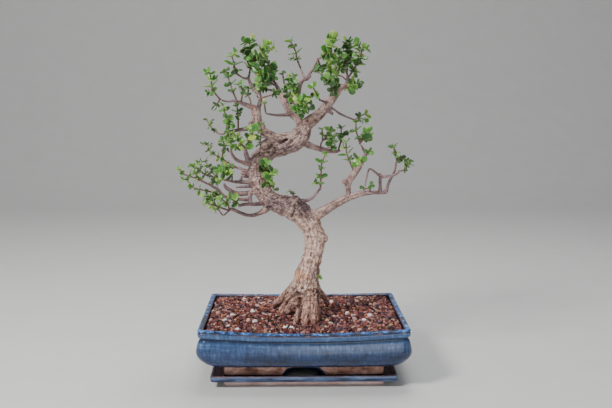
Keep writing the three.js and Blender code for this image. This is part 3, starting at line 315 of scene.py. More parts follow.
# Profiles, turned into rings: finish marks, steps to the next row, then the ring's half length, half depth,
# corner radius, height, bow of its long sides and sag of its middle
# In these profiles the darkest finish mark stands for pooled glaze together with painted shade: on undersides, in the
# pot's groove, under the bead, on inner walls and on the tray's floor.
TRAY_PROFILE = table("""
clay 1 99.6 69.6 4 0 0 0
clay 1 100 70 4 .4 0 0
clay 1 100 70 4 4.5 0 0
clay 2 100.8 70.8 4 5 0 0
pool 3 102.4 72.4 4 5.4 0 0
pool 3 112 82 5 7.5 0 0
plain 4 114.7 84.7 4.4 8.5 0 0
plain 3 115.3 85.3 4 10.9 0 0
plain 3 115.4 85.4 4 13.9 0 0
edge 3 114.9 84.9 4 15.1 0 0
edge+pool 2 113.8 83.8 3.6 15.4 0 0
pool 3 112.2 82.2 3.2 15.3 0 0
pool 3 111.4 81.4 3 14.7 0 0
pool 4 106.4 75.4 3 11.7 0 0
pool 1 104.4 73.4 3 11 0 0
pool 1 60 40 3 11 0 0
""", 6, 1)
POT_PROFILE = table("""
clay 1 87.5 55.5 5 22 0 0
clay 1 88.5 56.5 5 11.3 0 0
clay 3 98.5 66.5 5 11.3 0 0
clay 1 99.5 67.5 5 12.5 0 0
clay 3 100 68 5 22.2 0 0
clay+edge 4 103.2 73 8 24 1 0
pool+edge 5 109.5 81.4 10 26.3 2 0
plain 7 120.4 91.2 12 31.5 4 0
plain 7 128.4 97 12 39.5 6 0
plain 7 131.4 99 12 46.8 7 1
plain 6 130.6 98.5 12 54.5 7 2
plain 5 128.6 97.4 9 61 7 2.6
pool 3 126.4 96 8 65 7 3
pool 3 126.5 96.1 7 66.2 7 3
plain 4 128 97.6 6 67.6 7 3
plain 4 128.7 98.3 6 69.4 7 3
plain 3 128.7 98.3 6 72.6 7 3
edge+pool 2 127.9 97.5 6 73.8 7 3
edge 3 128.1 97.7 6 74.4 7 3
bright 4 129 98.6 6 75.2 7 3
bright 4 128.6 98.2 6 76.3 7 3
bright 4 127.1 96.7 5 77 7 3
bright 4 124.4 94 4 77 7 3
edge 3 122.6 92.2 4 75.6 7 3
pool 3 122.3 91.9 4 73.5 7 3
pool 1 122 91.6 4 62 7 3
clay 1 121 90.6 8 50 5 1
clay 1 113 84 8 38 3 0
clay 1 101 74 8 31 0 0
""", 6, 1)


# Mesh helpers

class Skin:
    """Points and faces gathered from lofts and loose forms, with marks carried on each point."""

    def __init__(self, *names):
        self.points, self.faces, self.slots = [], [], []
        self.marks = {n: [] for n in names}

    def add(self, points, faces, slot=0, **marks):
        """Adds a loose form; a mark is one value for all its points or a list with one for each."""
        base = len(self.points)
        self.points.extend(points)
        self.faces.extend(tuple(base + i for i in f) for f in faces)
        self.slots.extend([slot] * len(faces))
        for key, values in self.marks.items():
            value = marks.get(key, (0, 0, 0) if key == "spot" else 0)
            values.extend(value if isinstance(value, list) else [value] * len(points))

    def loft(self, rings, slot=0, start=None, end=None, **marks):
        """Skin through rings of points, closed flat or at a tip; a mark has one value for all or one for each ring."""
        n, last = len(rings[0]), (len(rings) - 1) * len(rings[0])
        points = [q for ring in rings for q in ring]
        faces = [(r + i, r + (i + 1) % n, r + (i + 1) % n + n, r + i + n) for r in range(0, last, n) for i in range(n)]
        spread = {}
        for key, value in marks.items():
            spread[key] = [v for v in (value if hasattr(value, "__len__") else [value] * len(rings)) for _ in range(n)]
        for tip, ring, step in ((start, range(n), -1), (end, range(last, last + n), 1)):
            order = ring[::step]
            if tip is None:
                faces.append(tuple(order))
                continue
            faces.extend([(order[i], order[(i + 1) % n], len(points)) for i in range(n)])
            points.append(tip)
            for values in spread.values():
                values.append(values[ring[0]])
        self.add(points, faces, slot, **spread)


def put(name, data):
    """An object of the scene with this mesh, light or camera."""
    thing = bpy.data.objects.new(name, data)
    bpy.context.scene.collection.objects.link(thing)
    return thing


def new_piece(name, skin):
    """A mesh object in metres from a skin in millimetres."""
    mesh = bpy.data.meshes.new(name)
    faces = [tuple(int(i) for i in f) for f in skin.faces]
    mesh.from_pydata((np.asarray(skin.points, float) * MM).tolist(), [], faces)
    return put(name, mesh)


def add_marks(mesh, marks):
    """Numbers or directions carried by a mesh's points, for its finish."""
    for key, values in marks.items():
        flat = np.asarray(values, float)
        kind, field = ("FLOAT", "value") if flat.ndim == 1 else ("FLOAT_VECTOR", "vector")
        mesh.attributes.new(key, kind, "POINT").data.foreach_set(field, flat.astype("f").ravel())


def claim(piece, node):
    """Puts a piece on the one body, in the place of its node where it has one."""
    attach(piece, "root")
    if node:
        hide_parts(node)


def make_piece(name, skin, finishes, node, smooth=True):
    piece = new_piece(name, skin)
    mesh = piece.data
    add_marks(mesh, skin.marks)
    for finish in finishes:
        mesh.materials.append(finish)
    mesh.polygons.foreach_set("material_index", np.asarray(skin.slots, "i"))
    mesh.polygons.foreach_set("use_smooth", [smooth] * len(mesh.polygons))
    if mesh.validate():
        raise ValueError(f"{name} has faces that are not sound")
    claim(piece, node)
    return piece


def settle(piece):
    """Turns a piece's modifiers into its mesh."""
    graph = bpy.context.evaluated_depsgraph_get()
    mesh = bpy.data.meshes.new_from_object(piece.evaluated_get(graph))
    piece.modifiers.clear()
    old, piece.data = piece.data, mesh
    bpy.data.meshes.remove(old)


def cut_away(piece, rings):
    """Cuts a lofted block out of a piece."""
    skin = Skin()
    skin.loft(rings)
    cutter = new_piece("cutter", skin)
    tool = piece.modifiers.new("cut", "BOOLEAN")
    tool.operation, tool.object, tool.solver = "DIFFERENCE", cutter, "EXACT"
    settle(piece)
    bpy.data.objects.remove(cutter)


def round_points(centre, r, count):
    """Points of a level circle."""
    x, y, z = centre
    return [(x + r * math.cos(t), y + r * math.sin(t), z) for t in np.linspace(0, TURN, count, endpoint=False)]


def ball_rings(centre, r, lifts, count, tall=1.0):
    """Level circles of a ball, at the lifts given in radians."""
    x, y, z = centre
    return [round_points((x, y, z + r * tall * math.sin(e)), r * math.cos(e), count) for e in lifts]


def frame_ring(a, b, corner, z, bow=0, sag=0, arc=9):
    """Rectangle with round corners, its long sides bowed out, its sides sagging in the middle."""
    ring, arcs = [], []
    for quarter, (x, y) in enumerate(((-1, -1), (1, -1), (1, 1), (-1, 1)), 2):
        turns = np.linspace(quarter * TURN / 4, (quarter + 1) * TURN / 4, arc + 1)
        arcs.append([(x * (a - corner) + corner * math.cos(t), y * (b - corner) + corner * math.sin(t)) for t in turns])
    for i, own in enumerate(arcs):
        (x0, y0), (x1, y1), count = own[-1], arcs[(i + 1) % 4][0], (26, 18)[i % 2]
        ring += own + [(x0 + (x1 - x0) * k / count, y0 + (y1 - y0) * k / count) for k in range(1, count)]
    out = []
    for x, y in ring:
        along, across = max(0.0, 1 - (x / a) ** 2), max(0.0, 1 - (y / b) ** 2)
        out.append((x, y * (1 + bow * along / b), z - sag * max(along * (abs(y) / b) ** 2, across * 0.3)))
    return out


def curve_through(rows, counts):
    """Rounded curve through the rows, each stretch in its own count of steps, and where each point lies."""
    rows = [np.array(row, float) for row in rows]
    out, index = [], []
    for i, (b, c) in enumerate(zip(rows[:-1], rows[1:])):
        a = rows[i - 1] if i and counts[i - 1] > 1 else b
        d = rows[i + 2] if i + 2 < len(rows) and counts[i + 1] > 1 else c
        for k in range(counts[i]):
            t = k / counts[i]
            bend, twist = 2 * a - 5 * b + 4 * c - d, 3 * b - a - 3 * c + d
            out.append(0.5 * (2 * b + (c - a) * t + bend * t ** 2 + twist * t ** 3))
            index.append(i + t)
    return np.array(out + [rows[-1]]), index + [len(rows) - 1]


# Finishes

class Value:
    """A number or colour that changes over a surface: a node socket that takes part in sums."""

    def __init__(self, paint, socket):
        self.paint, self.socket = paint, socket

    def __add__(self, other):
        return self.paint.sum("ADD", self, other)

    def __sub__(self, other):
        return self.paint.sum("SUBTRACT", self, other)

    def __rsub__(self, other):
        return self.paint.sum("SUBTRACT", other, self)

    def __mul__(self, other):
        return self.paint.sum("MULTIPLY", self, other)

    __radd__, __rmul__ = __add__, __mul__


class Paint:
    """One finish: a Principled surface, its colour so far and the nodes that feed it."""

    def __init__(self, name, **constants):
        self.material = bpy.data.materials.new(name)
        self.material.use_nodes = True
        self.tree = self.material.node_tree
        self.tree.nodes.clear()
        surface = self.node("BsdfPrincipled", {}, constants)
        self.surface, self.colour = surface.socket.node, None
        self.node("OutputMaterial", {}, {"Surface": surface}, None)

    def node(self, kind, settings, sockets, out=0):
        """Any node from its type, its settings and the values or links of its sockets."""
        node = self.tree.nodes.new("ShaderNode" + kind)
        for key, value in settings.items():
            if key == "stops":
                while len(node.color_ramp.elements) < len(value):
                    node.color_ramp.elements.new(0.5)
                for element, (at, colour) in zip(node.color_ramp.elements, value):
                    element.position, element.color = at, as_colour(colour)
            else:
                setattr(node, key, value)
        for key, value in sockets.items():
            socket = node.inputs[key.replace("_", " ") if isinstance(key, str) else key]
            if isinstance(value, Value):
                self.tree.links.new(value.socket, socket)
            else:
                socket.default_value = value
        return None if out is None else Value(self, node.outputs[out])

    def sum(self, how, a, b):
        return self.node("Math", {"operation": how}, {0: a, 1: b})

    def place(self, stretch=(1, 1, 1), shift=(0, 0, 0)):
        where = self.node("TexCoord", {}, {}, 3)
        return self.node("Mapping", {}, {"Vector": where, "Location": shift, "Scale": stretch})

    def lane(self, name, stretch=(1, 1, 1)):
        where = self.node("Attribute", {"attribute_name": name}, {}, 1)
        return self.node("Mapping", {}, {"Vector": where, "Scale": stretch})

    def noise(self, size, detail=4.0, rough=0.55, where=None, warp=0.0):
        """Soft noise whose blobs are about size millimetres wide."""
        sockets = {"Scale": 1000 / size, "Detail": detail, "Roughness": rough, "Distortion": warp}
        return self.node("TexNoise", {}, {"Vector": where or self.place(), **sockets})

    def cells(self, size, where):
        """Distance to the edge of cells of about size millimetres."""
        return self.node("TexVoronoi", {"feature": "DISTANCE_TO_EDGE"}, {"Vector": where, "Scale": 1000 / size})

    def mark(self, name):
        return self.node("Attribute", {"attribute_name": name}, {}, 2)

    def axis(self, vector, n):
        return self.node("SeparateXYZ", {}, {0: vector}, n)

    def between(self, value, low, streaks_and_sheen):
        """0 below low, 1 above high, smooth between; low may be the larger one."""
        sockets = {"Value": value, "From_Min": low, "From_Max": streaks_and_sheen}
        return self.node("MapRange", {"interpolation_type": "SMOOTHSTEP"}, sockets)

    def ramp(self, value, *stops):
        return self.node("ValToRGB", {"stops": stops}, {0: value})

    def blend(self, share, a, b, how="MIX"):
        a, b = (c if isinstance(c, Value) else as_colour(c) for c in (a, b))
        return self.node("Mix", {"data_type": "RGBA", "blend_type": how}, {0: share, 6: a, 7: b}, 2)

    def over(self, share, colour, how="MIX"):
        """Lays a colour over what the finish has so far."""
        self.colour = self.blend(share, self.colour, colour, how)

    def bump(self, height, distance, strength):
        return self.node("Bump", {}, {"Height": height, "Distance": distance * MM, "Strength": strength})

    def feed(self, **sockets):
        """Leads the colour so far and the values given to the surface."""
        for key, value in {"Base_Color": self.colour, **sockets}.items():
            self.tree.links.new(value.socket, self.surface.inputs[key.replace("_", " ")])
        return self.material


def as_colour(code):
    """Linear colour from a six-figure code, or a colour as it is."""
    if not isinstance(code, str):
        return *code, 1
    parts = [int(code[i:i + 2], 16) / 255 for i in (0, 2, 4)]
    return *(p / 12.92 if p <= 0.04045 else ((p + 0.055) / 1.055) ** 2.4 for p in parts), 1


def glaze(name, tones, flow, pale_from, pale_to):
    """Blue glaze with fine pale streaks and a painted highlight high on the belly, a bright bead, brown edges, pooled
    glaze with painted shade in hollows and underneath, and bare clay.
    """
    deep, low, body, pale, bright, glow, clay_dark, clay_mid, clay_pale = tones.split()
    p = Paint(name, Specular_IOR_Level=0.5, IOR=1.5)
    clouds = p.noise(30, 5, 0.6)
    streaks = p.noise(3.0, 6, 0.65, p.place(flow), 0.3)
    brushed = p.noise(4, 5, 0.65, p.place((0.14, 0.14, 1.2)))
    specks = p.noise(1.5, 3, 0.7)
    height = p.axis(p.place(), 2)
    # pale glaze streaks together with a painted highlight on the upper belly of the pot and the top of the tray's face
    streaks_and_sheen = p.between(height + (streaks - 0.5) * 0.008, pale_from * MM, pale_to * MM)
    tone = streaks * 0.38 + clouds * 0.34 + brushed * 0.28
    p.colour = p.ramp(tone, (0.34, deep), (0.46, low), (0.56, body), (0.7, pale))
    runs_and_sheen = p.ramp(streaks * 0.6 + brushed * 0.4, (0.36, body), (0.54, pale), (0.7, glow))
    p.over(streaks_and_sheen * 0.8, runs_and_sheen)
    p.over(p.between(p.noise(2.4, 2, 0.5), 0.66, 0.72) * 0.55, deep)
    bead = p.noise(4.2, 5, 0.62, p.place((0.45, 0.45, 1)), 0.8)
    p.over(p.mark("bright"), p.ramp(bead, (0.37, deep), (0.46, low), (0.53, bright), (0.67, glow)))
    # pooled glaze and painted shade: darkest blue on undersides, in the groove, on inner walls and on the tray's floor
    p.over(p.mark("pool") * 0.85, deep)
    worn = p.mark("edge") * p.between(p.noise(11, 4, 0.6), 0.34, 0.52)
    p.over(worn * 0.85, p.ramp(p.noise(7, 3), (0.35, "33211f"), (0.55, "684638"), (0.7, "a5826f")))
    bare = p.between(p.mark("clay") + (p.noise(5, 3) - 0.5) * 0.35, 0.42, 0.58)
    fired = p.noise(11, 6, 0.68, p.place((0.5, 1, 1)), 0.6)
    clay = p.ramp(fired, (0.36, clay_dark), (0.5, clay_mid), (0.64, clay_pale))
    clay = p.blend(p.between(p.noise(6, 5, 0.7, p.place((0.4, 1, 1))), 0.54, 0.66) * 0.45, clay, clay_dark)
    relief = clouds * 0.7 + p.noise(4, 3) * 0.1 + specks * 0.03 + bare * p.noise(0.9, 4) * 0.25
    p.over(bare, clay)
    return p.feed(Roughness=0.14 + clouds * 0.16 + bare * 0.6 + worn * 0.25, Normal=p.bump(relief, 1.0, 0.45))


def bark():
    """Pinkish tan cracked bark: fissures along each limb, mauve higher up, reddish roots, orange where cut, and painted
    shade in the crotches of the limbs.
    """
    p = Paint("bark", Specular_IOR_Level=0.25)
    girth, scar, ochre, fold, dusk, dip = (p.mark(n) for n in ("girth", "scar", "ochre", "fold", "dusk", "dip"))
    coarse = p.noise(14, 5, 0.6, None, 0.8)
    fine = p.noise(1.7, 6, 0.75)
    grain = p.noise(2.7, 5, 0.68, p.lane("grain", (1, 1, 0.2)), 0.6)
    rings = p.noise(3.0, 4, 0.6, p.lane("grain", (0.22, 0.22, 1)), 0.5)
    plates = p.cells(4.2, p.lane("grain", (1, 1, 0.24)))
    height = p.axis(p.place(), 2)
    tone = grain * 0.42 + fine * 0.4 + coarse * 0.12 + rings * 0.12 + dip * 0.09 - 0.03
    old = p.ramp(tone, (0.38, "543a30"), (0.455, "ae8a7a"), (0.53, "e6c3b1"), (0.64, "fcebe0"))
    grey = p.ramp(tone, (0.38, "3a2c2f"), (0.46, "7b6668"), (0.54, "aa9291"), (0.65, "e0cdc8"))
    young = p.ramp(tone, (0.36, "46343a"), (0.46, "80666a"), (0.56, "a68a8b"), (0.67, "d0b8b2"))
    root = p.ramp(tone, (0.38, "4a2e28"), (0.455, "9d6c5e"), (0.54, "d0a192"), (0.65, "f2d2c6"))
    p.colour = old
    p.over(p.between(height + (coarse - 0.5) * 0.06, 0.19, 0.212) * 0.6, grey)
    p.over(p.between(height + (coarse - 0.5) * 0.03, 0.122, 0.092) * 0.8, root)
    p.over(p.between(girth, 4.4, 2.2) * p.between(height, 0.13, 0.16), young)
    p.over(p.between(p.noise(9, 4, 0.6), 0.55, 0.68) * 0.35, "d8a98c")
    cool = p.noise(12, 4, 0.6, p.place((1, 1, 1), (0.3, 0.1, 0.7)))
    p.over(p.between(cool, 0.52, 0.64) * 0.32, "8f7d88")
    # painted shade: dark mauve in the crotches of the limbs, less of it on the paler bark
    p.over(dusk * (0.82 - p.between(tone, 0.43, 0.55) * 0.42), "4f3e44")
    p.over(ochre * p.between(tone, 0.4, 0.56) * 0.8, "e0a27c")
    crack = p.between(plates + (fine - 0.5) * 0.35, 0.11, 0.02)
    p.over(crack * (0.3 + p.between(height, 0.175, 0.12) * 0.32), "3d2a24")
    # dark creases at joints and wrinkles, and painted shadow in the gaps between the roots and in the strip beside the
    # trunk
    p.over(fold * 0.8, "281c1f")
    cut = p.ramp(fine, (0.38, "8a5140"), (0.58, "c58c76"), (0.72, "e2bfae"))
    p.over(p.between(scar, 0.3, 0.8) * 0.75, cut)
    p.over(p.between(height + (fine - 0.5) * 0.012, 0.0835, 0.077) * 0.5, "80493f")
    relief = grain * 0.9 + fine * 0.5 + rings * 0.45 - crack * 0.5
    return p.feed(Roughness=0.72 + fine * 0.22, Normal=p.bump(relief, 1.0, 0.85))


def leaf_skin():
    """Waxy leaf: each one its own green, with a painted highlight along its edge, painted shade along its middle, and
    paler at its foot.
    """
    p = Paint("leaf", Specular_IOR_Level=0.55, Subsurface_Weight=0.12, Subsurface_Scale=0.0012)
    spot = p.lane("spot")
    reach, side = p.axis(spot, 0), p.axis(spot, 1)
    greens = (0.0, "09261a"), (0.25, "133f22"), (0.5, "28662a"), (0.75, "529434"), (1.0, "98c04e")
    p.colour = p.ramp(p.mark("tint"), *greens)
    p.over(p.mark("age"), "b9bd58")
    # painted shade along the middle of the blade, towards its foot
    p.over(p.between(side, 0.35, 0.0) * p.between(reach, 0.95, 0.5) * 0.35, "1c4a22")
    # painted highlight along the rim of the blade
    p.over(p.between(side, 0.7, 1.0) * 0.4, "adc976")
    p.over(p.between(reach, 0.22, 0.0) * 0.45, "86a84a")
    mottle = p.noise(2.4, 4, 0.6)
    p.over(0.16, p.ramp(mottle, (0.35, "1c4a1a"), (0.65, "a9cc62")))
    return p.feed(Roughness=0.26 + mottle * 0.14, Normal=p.bump(mottle, 0.3, 0.35))


def shoot_skin():
    """Thin stems: reddish mauve-brown, greener towards the tips."""
    p = Paint("shoot", Roughness=0.6, Specular_IOR_Level=0.4)
    fine = p.noise(2.2, 5, 0.65)
    p.colour = p.ramp(fine, (0.34, "46292b"), (0.54, "7d5a55"), (0.7, "a98d7d"))
    p.over(p.mark("age") * 0.75, "6f8438")
    return p.feed(Normal=p.bump(fine, 0.4, 0.6))


def grain_skin(name, pitted, *stops):
    """Rough porous grains, each with its own shade and a cast of mauve or orange."""
    p = Paint(name, Specular_IOR_Level=0.3)
    pores = p.noise(1.2, 6, 0.75)
    p.colour = p.ramp(p.mark("tint"), *stops)
    p.over(p.between(p.mark("cast"), 0.6, 0.8) * pitted, "705866")
    p.over(p.between(p.mark("cast"), 0.22, 0.08) * pitted * 0.7, "bd7a4e")
    p.over(pitted, p.ramp(pores, (0.32, (0.24, 0.22, 0.22)), (0.64, (1, 1, 1))), "MULTIPLY")
    p.over(p.between(pores, 0.58, 0.74) * 0.35, "e0c4bc")
    return p.feed(Roughness=0.8 + pores * 0.2, Normal=p.bump(pores, 0.5, 0.9))


def net_plastic():
    p = Paint("net", Roughness=0.5)
    grit = p.noise(1.5, 3)
    p.colour = p.ramp(grit, (0.3, (0.012, 0.013, 0.012)), (0.7, (0.03, 0.032, 0.03)))
    return p.feed(Normal=p.bump(grit, 0.2, 0.4))


# Pot, tray, nets and soil

def ware(name, profile, finish, node, arc=9):
    """Pottery lofted through the rings of a profile."""
    fine, index = curve_through([ring for *_, (ring,) in profile], [int(steps) for _, (steps,), _ in profile[:-1]])
    marks = {}
    for key in ("clay", "edge", "pool", "bright"):
        own = [float(key in names) for names, *_ in profile]
        marks[key] = [own[int(k)] * (1 - k % 1) + own[min(int(k) + 1, len(own) - 1)] * (k % 1) for k in index]
    skin = Skin(*marks)
    skin.loft([frame_ring(*row, arc=arc) for row in fine], **marks)
    return make_piece(name, skin, [finish], node)


def make_tray():
    finish = glaze("tray_glaze", "0d1630 222f4a 3f5074 61759a 4a79ad 8299ba d8b2aa f8d2ca fde6e0", (0.1, 0.1, 1),
                   10.5, 13.5)
    ware("drip_tray_ware", TRAY_PROFILE, finish, "drip_tray")


def make_pot():
    """The pot with its arches cut through the foot band and its drainage holes."""
    finish = glaze("pot_glaze", "081226 1d2d4b 2b406a 45628d 1560b4 78a6d8 6a4a40 bd8c7a eccabe", (1, 1, 0.22), 44, 62)
    pot = ware("pot_ware", POT_PROFILE, finish, "pot", arc=10)
    half, z0, z1 = ARCH_W / 2, POT_FOOT_Z + 1.5, POT_FOOT_Z + ARCH_H
    shoulder = [(half - 0.4, z0 + 0.3), (half - 1.6, z0 + 1.6), (half - 4, z0 + 3.8), (half - 7.2, z0 + 6.2),
                (half - 9.8, z1 - 0.7), (half - 12, z1 - 0.15), (half - 14.5, z1)]
    profile = [(-half, POT_FOOT_Z - 2), (half, POT_FOOT_Z - 2), (half, z0), *shoulder]
    profile += [(-x, z) for x, z in reversed(shoulder)] + [(-half, z0)]
    for side in (-1, 1):
        ends = sorted((side * (POT_FOOT_Y + 3), side * (POT_FOOT_Y - POT_FOOT_W - 3)), reverse=True)
        cut_away(pot, [[(x, y, z) for x, z in profile] for y in ends])
    for x in (-DRAIN_X, DRAIN_X):
        cut_away(pot, [round_points((x, 0, z), DRAIN_R, 40) for z in (POT_UNDER_Z - 2, POT_FLOOR_Z + 2)])
    pot.data.set_sharp_from_angle(angle=SHARP)


def make_net(name, x, finish, node):
    half, z = MESH_SIZE / 2, POT_FLOOR_Z + GAP
    skin = Skin()
    for at in (-half + i * (MESH_SIZE - NET_BAR) / (NET_BARS - 1) for i in range(NET_BARS)):
        bars = (0, x + at, -half, x + at + NET_BAR, half), (0.1, x - half, at, x + half, at + NET_BAR)
        for drop, x0, y0, x1, y1 in bars:
            levels = ((z + drop, 0.1), (z + drop + 0.2, 0), (z + MESH_T - 0.2 - drop, 0), (z + MESH_T - drop, 0.15))
            skin.loft([[(x0 + e, y0 + e, h), (x1 - e, y0 + e, h), (x1 - e, y1 - e, h), (x0 + e, y1 - e, h)]
                       for h, e in levels])
    make_piece(name, skin, [finish], node, smooth=False)


def soil_height(x, y):
    mound = SOIL_MOUND * math.exp(-((x - 5) ** 2 + (y + 20) ** 2) / 2600)
    grain = 0.55 * math.sin(x * 0.61 + 1.7 * math.sin(y * 0.23)) * math.sin(y * 0.57 + 1.3 * math.sin(x * 0.19))
    return SOIL_Z + mound + grain + 0.5 * math.sin(x * 0.11 + 2) * math.sin(y * 0.13 + 1)


def make_soil_bed(finish):
    def side(inset, z):
        return frame_ring(POT_RIM_X - inset, POT_RIM_Y - inset, 5, z, POT_BOW)

    rings = [frame_ring(99.8, 72.8, 8, POT_FLOOR_Z + GAP + MESH_T), frame_ring(111.6, 82.6, 8, 38.5, 3),
             frame_ring(120.2, 89.8, 8, 50, 5), side(POT_RIM_W + 1.4, 62), side(POT_RIM_W + 0.8, 69.5)]
    edge = side(POT_RIM_W + 0.8, 0)
    for share in (1, 0.98, 0.94, 0.9, 0.82, 0.74, 0.65, 0.55, 0.45, 0.35, 0.25, 0.15, 0.07):
        sunk = 2.2 if share == 1 else 1.4
        rings.append([(x * share, y * share, soil_height(x * share, y * share) - sunk) for x, y, _ in edge])
    skin = Skin("tint", "cast")
    skin.loft(rings, end=(0, 0, soil_height(0, 0) - 1.4), tint=0.2, cast=0.5)
    make_piece("soil_bed", skin, [finish], "soil")


def rough_ball(rng, level):
    """Angular pebble of unit radius."""
    body = bmesh.new()
    bmesh.ops.create_icosphere(body, subdivisions=level, radius=1)
    shift = Vector((rng.uniform(-9, 9), rng.uniform(-9, 9), rng.uniform(-9, 9)))
    for v in body.verts:
        v.co *= 1 + 0.42 * noise.noise(v.co * 1.1 + shift) + 0.22 * noise.noise(v.co * 2.6 + shift)
    points = np.array([v.co[:] for v in body.verts])
    faces = [tuple(v.index for v in f.verts) for f in body.faces]
    body.free()
    return points, faces


def scatter_grains():
    """Places for grains: packed close over the bed and clear of the wood."""
    rng = random.Random(PLACE_SEED)
    half_x, half_y = (size - POT_RIM_W - 0.35 for size in (POT_RIM_X, POT_RIM_Y))
    cell, grid, places = 5.2, {}, []
    tries = [(x, y, 6.4 if kind == "white" else 5.4, kind) for kind, _, spots in MARKED_GRAINS for x, y in spots]
    for _ in range(GRAIN_TRIES):
        d = rng.choice(GRAIN_WIDTHS) * rng.uniform(0.9, 1.1)
        roll = rng.random()
        kind = "tan" if roll < 0.03 else "dark" if roll < 0.16 else "red"
        tries.append((rng.uniform(-half_x, half_x), rng.uniform(-half_y - POT_BOW, half_y + POT_BOW), d, kind))
    for x, y, d, kind in tries:
        bow = POT_BOW * max(0, 1 - (x / half_x) ** 2)
        edge = min(half_x - abs(x), half_y + bow - abs(y))
        if edge < d * 0.6:
            continue
        i, j = int(x // cell), int(y // cell)
        near = [q for m in (i - 1, i, i + 1) for n in (j - 1, j, j + 1) for q in grid.get((m, n), ())]
        if any((x - q[0]) ** 2 + (y - q[1]) ** 2 < (0.4 * (d + q[2])) ** 2 for q in near):
            continue
        z = soil_height(x, y) - 0.2 - 0.9 * max(0, 1 - edge / 6)
        if not in_wood(Vector((x, y, z)), d * 0.2):
            grid.setdefault((i, j), []).append((x, y, d))
            places.append((x, y, z, d, kind))
    return places


def make_grains():
    shades = {
        "red": (0.5, (0.0, "26110f"), (0.25, "5c2c29"), (0.55, "955650"), (0.82, "c58b80"), (1.0, "e6c4ba")),
        "dark": (0.4, (0.0, "10121c"), (0.6, "2b2c3a"), (1.0, "565260")),
        "tan": (0.3, (0.0, "8a6a52"), (0.5, "b8977a"), (1.0, "dcc6a6")),
        "white": (0.08, (0.0, "f0ece8"), (1.0, "ffffff")),
    }
    finishes = {kind: grain_skin(kind + "_grain", *shade) for kind, shade in shades.items()}
    places = scatter_grains()
    rng = random.Random(GRAIN_SEED)
    balls = [rough_ball(rng, 2 if k < 4 else 1) for k in range(16)]
    for kind, finish in finishes.items():
        spots = [q for q in places if q[4] == kind]
        for n, batch in enumerate([spots[::2], spots[1::2]] if kind == "red" else [spots]):
            skin = Skin("tint", "cast")
            for x, y, z, d, _ in batch:
                ball, faces = balls[rng.randrange(16) if kind != "red" else 4 + rng.randrange(12)]
                turn = Matrix.Rotation(rng.uniform(0, 6.28), 3, "Z") @ Matrix.Rotation(rng.uniform(0, 6.28), 3, "X")
                stretch = np.array([rng.uniform(0.85, 1.2), rng.uniform(0.8, 1.1), rng.uniform(0.7, 0.95)])
                points = (ball * stretch * d * 0.56) @ np.array(turn).T + (x, y, z + rng.uniform(-0.6, 0.6))
                skin.add(points, faces, tint=min(1, max(0, rng.gauss(0.5, 0.3))), cast=rng.random())
            make_piece(f"soil_grains_{kind}_{n}", skin, [finish], "soil", smooth=False)


# Tree

def unit(v):
    return v / norm(v)


def frames_along(path):
    """Directions along and across a path, carried along it without twist."""
    frames, across = [], None
    for i in range(len(path)):
        along = unit(path[min(i + 1, len(path) - 1)] - path[max(i - 1, 0)])
        if across is None:
            across = np.array([0.0, 1, 0]) if abs(along[1]) < 0.9 else np.array([1.0, 0, 0])
        across = unit(across - along * np.dot(across, along))
        frames.append((along, across, np.cross(along, across)))
    return frames


def limb_rings(rows, sides, steps, gnarl=0.0, wobble=0.0, collar=0.0, seed=0.0):
    """Rings, tip and radii of a round tapering limb, rounded off at its end."""
    fine, index = curve_through(rows, [steps] * (len(rows) - 1))
    path, radius = fine[:, :3], np.maximum(fine[:, 3], 0.5)
    rings, radii, run = [], [], 0.0
    for i, (p, (along, across, over)) in enumerate(zip(path, frames_along(path))):
        if i:
            run += norm(p - path[i - 1])
        r = radius[i] * (1 + collar * math.exp(-run / 3.5))
        if wobble:
            swell = 0.07 * max(0, math.sin(run * 0.9 + seed)) ** 6
            r *= 1 + wobble * noise.noise(Vector((run * 0.18, seed, 0))) + swell
        ring = []
        for t in (k / sides * TURN for k in range(sides)):
            lobes = 1 + gnarl * (math.cos(2 * t + 1.3 * index[i]) + 0.7 * math.cos(3 * t - 0.8 * index[i]))
            ring.append(p + across * r * lobes * math.cos(t) + over * r * lobes * math.sin(t))
        rings.append(ring)
        radii.append(r)
    end, tip, r = rings[-1], path[-1], radii[-1]
    for share, reach in ((0.86, 0.22), (0.5, 0.37)):
        rings.append([tip + along * r * reach + (q - tip) * share for q in end])
    return rings, tip + along * r * 0.4, radii + [r, r]


def trimmed(rows):
    """A limb cut a little short of the shoot that stands on its tip."""
    a, b = np.array(rows[-2], float), np.array(rows[-1], float)
    end = a[:3] + (b[:3] - a[:3]) * max(0.3, 1 - TRIM / norm(b[:3] - a[:3]))
    return [*rows[:-1], [*end, b[3]]]


def samples(rows, step):
    """Points with their radius along a limb, a step apart at most."""
    spots = []
    for a, b in zip(rows[:-1], rows[1:]):
        a, b = np.array(a, float), np.array(b, float)
        count = max(1, math.ceil(norm(b[:3] - a[:3]) / step))
        spots.extend(a + (b - a) * k / count for k in range(count + 1))
    return np.array(spots)


def own_draw(state=20417):
    """The plant's own random sequence, the same as that of its solids."""
    while True:
        state = (state * 1664525 + 1013904223) % 4294967296
        yield state / 4294967296


def point_at(path, s):
    left, i = s, 0
    while i < len(path) - 2 and left > norm(path[i + 1] - path[i]):
        left -= norm(path[i + 1] - path[i])
        i += 1
    return path[i] + unit(path[i + 1] - path[i]) * left


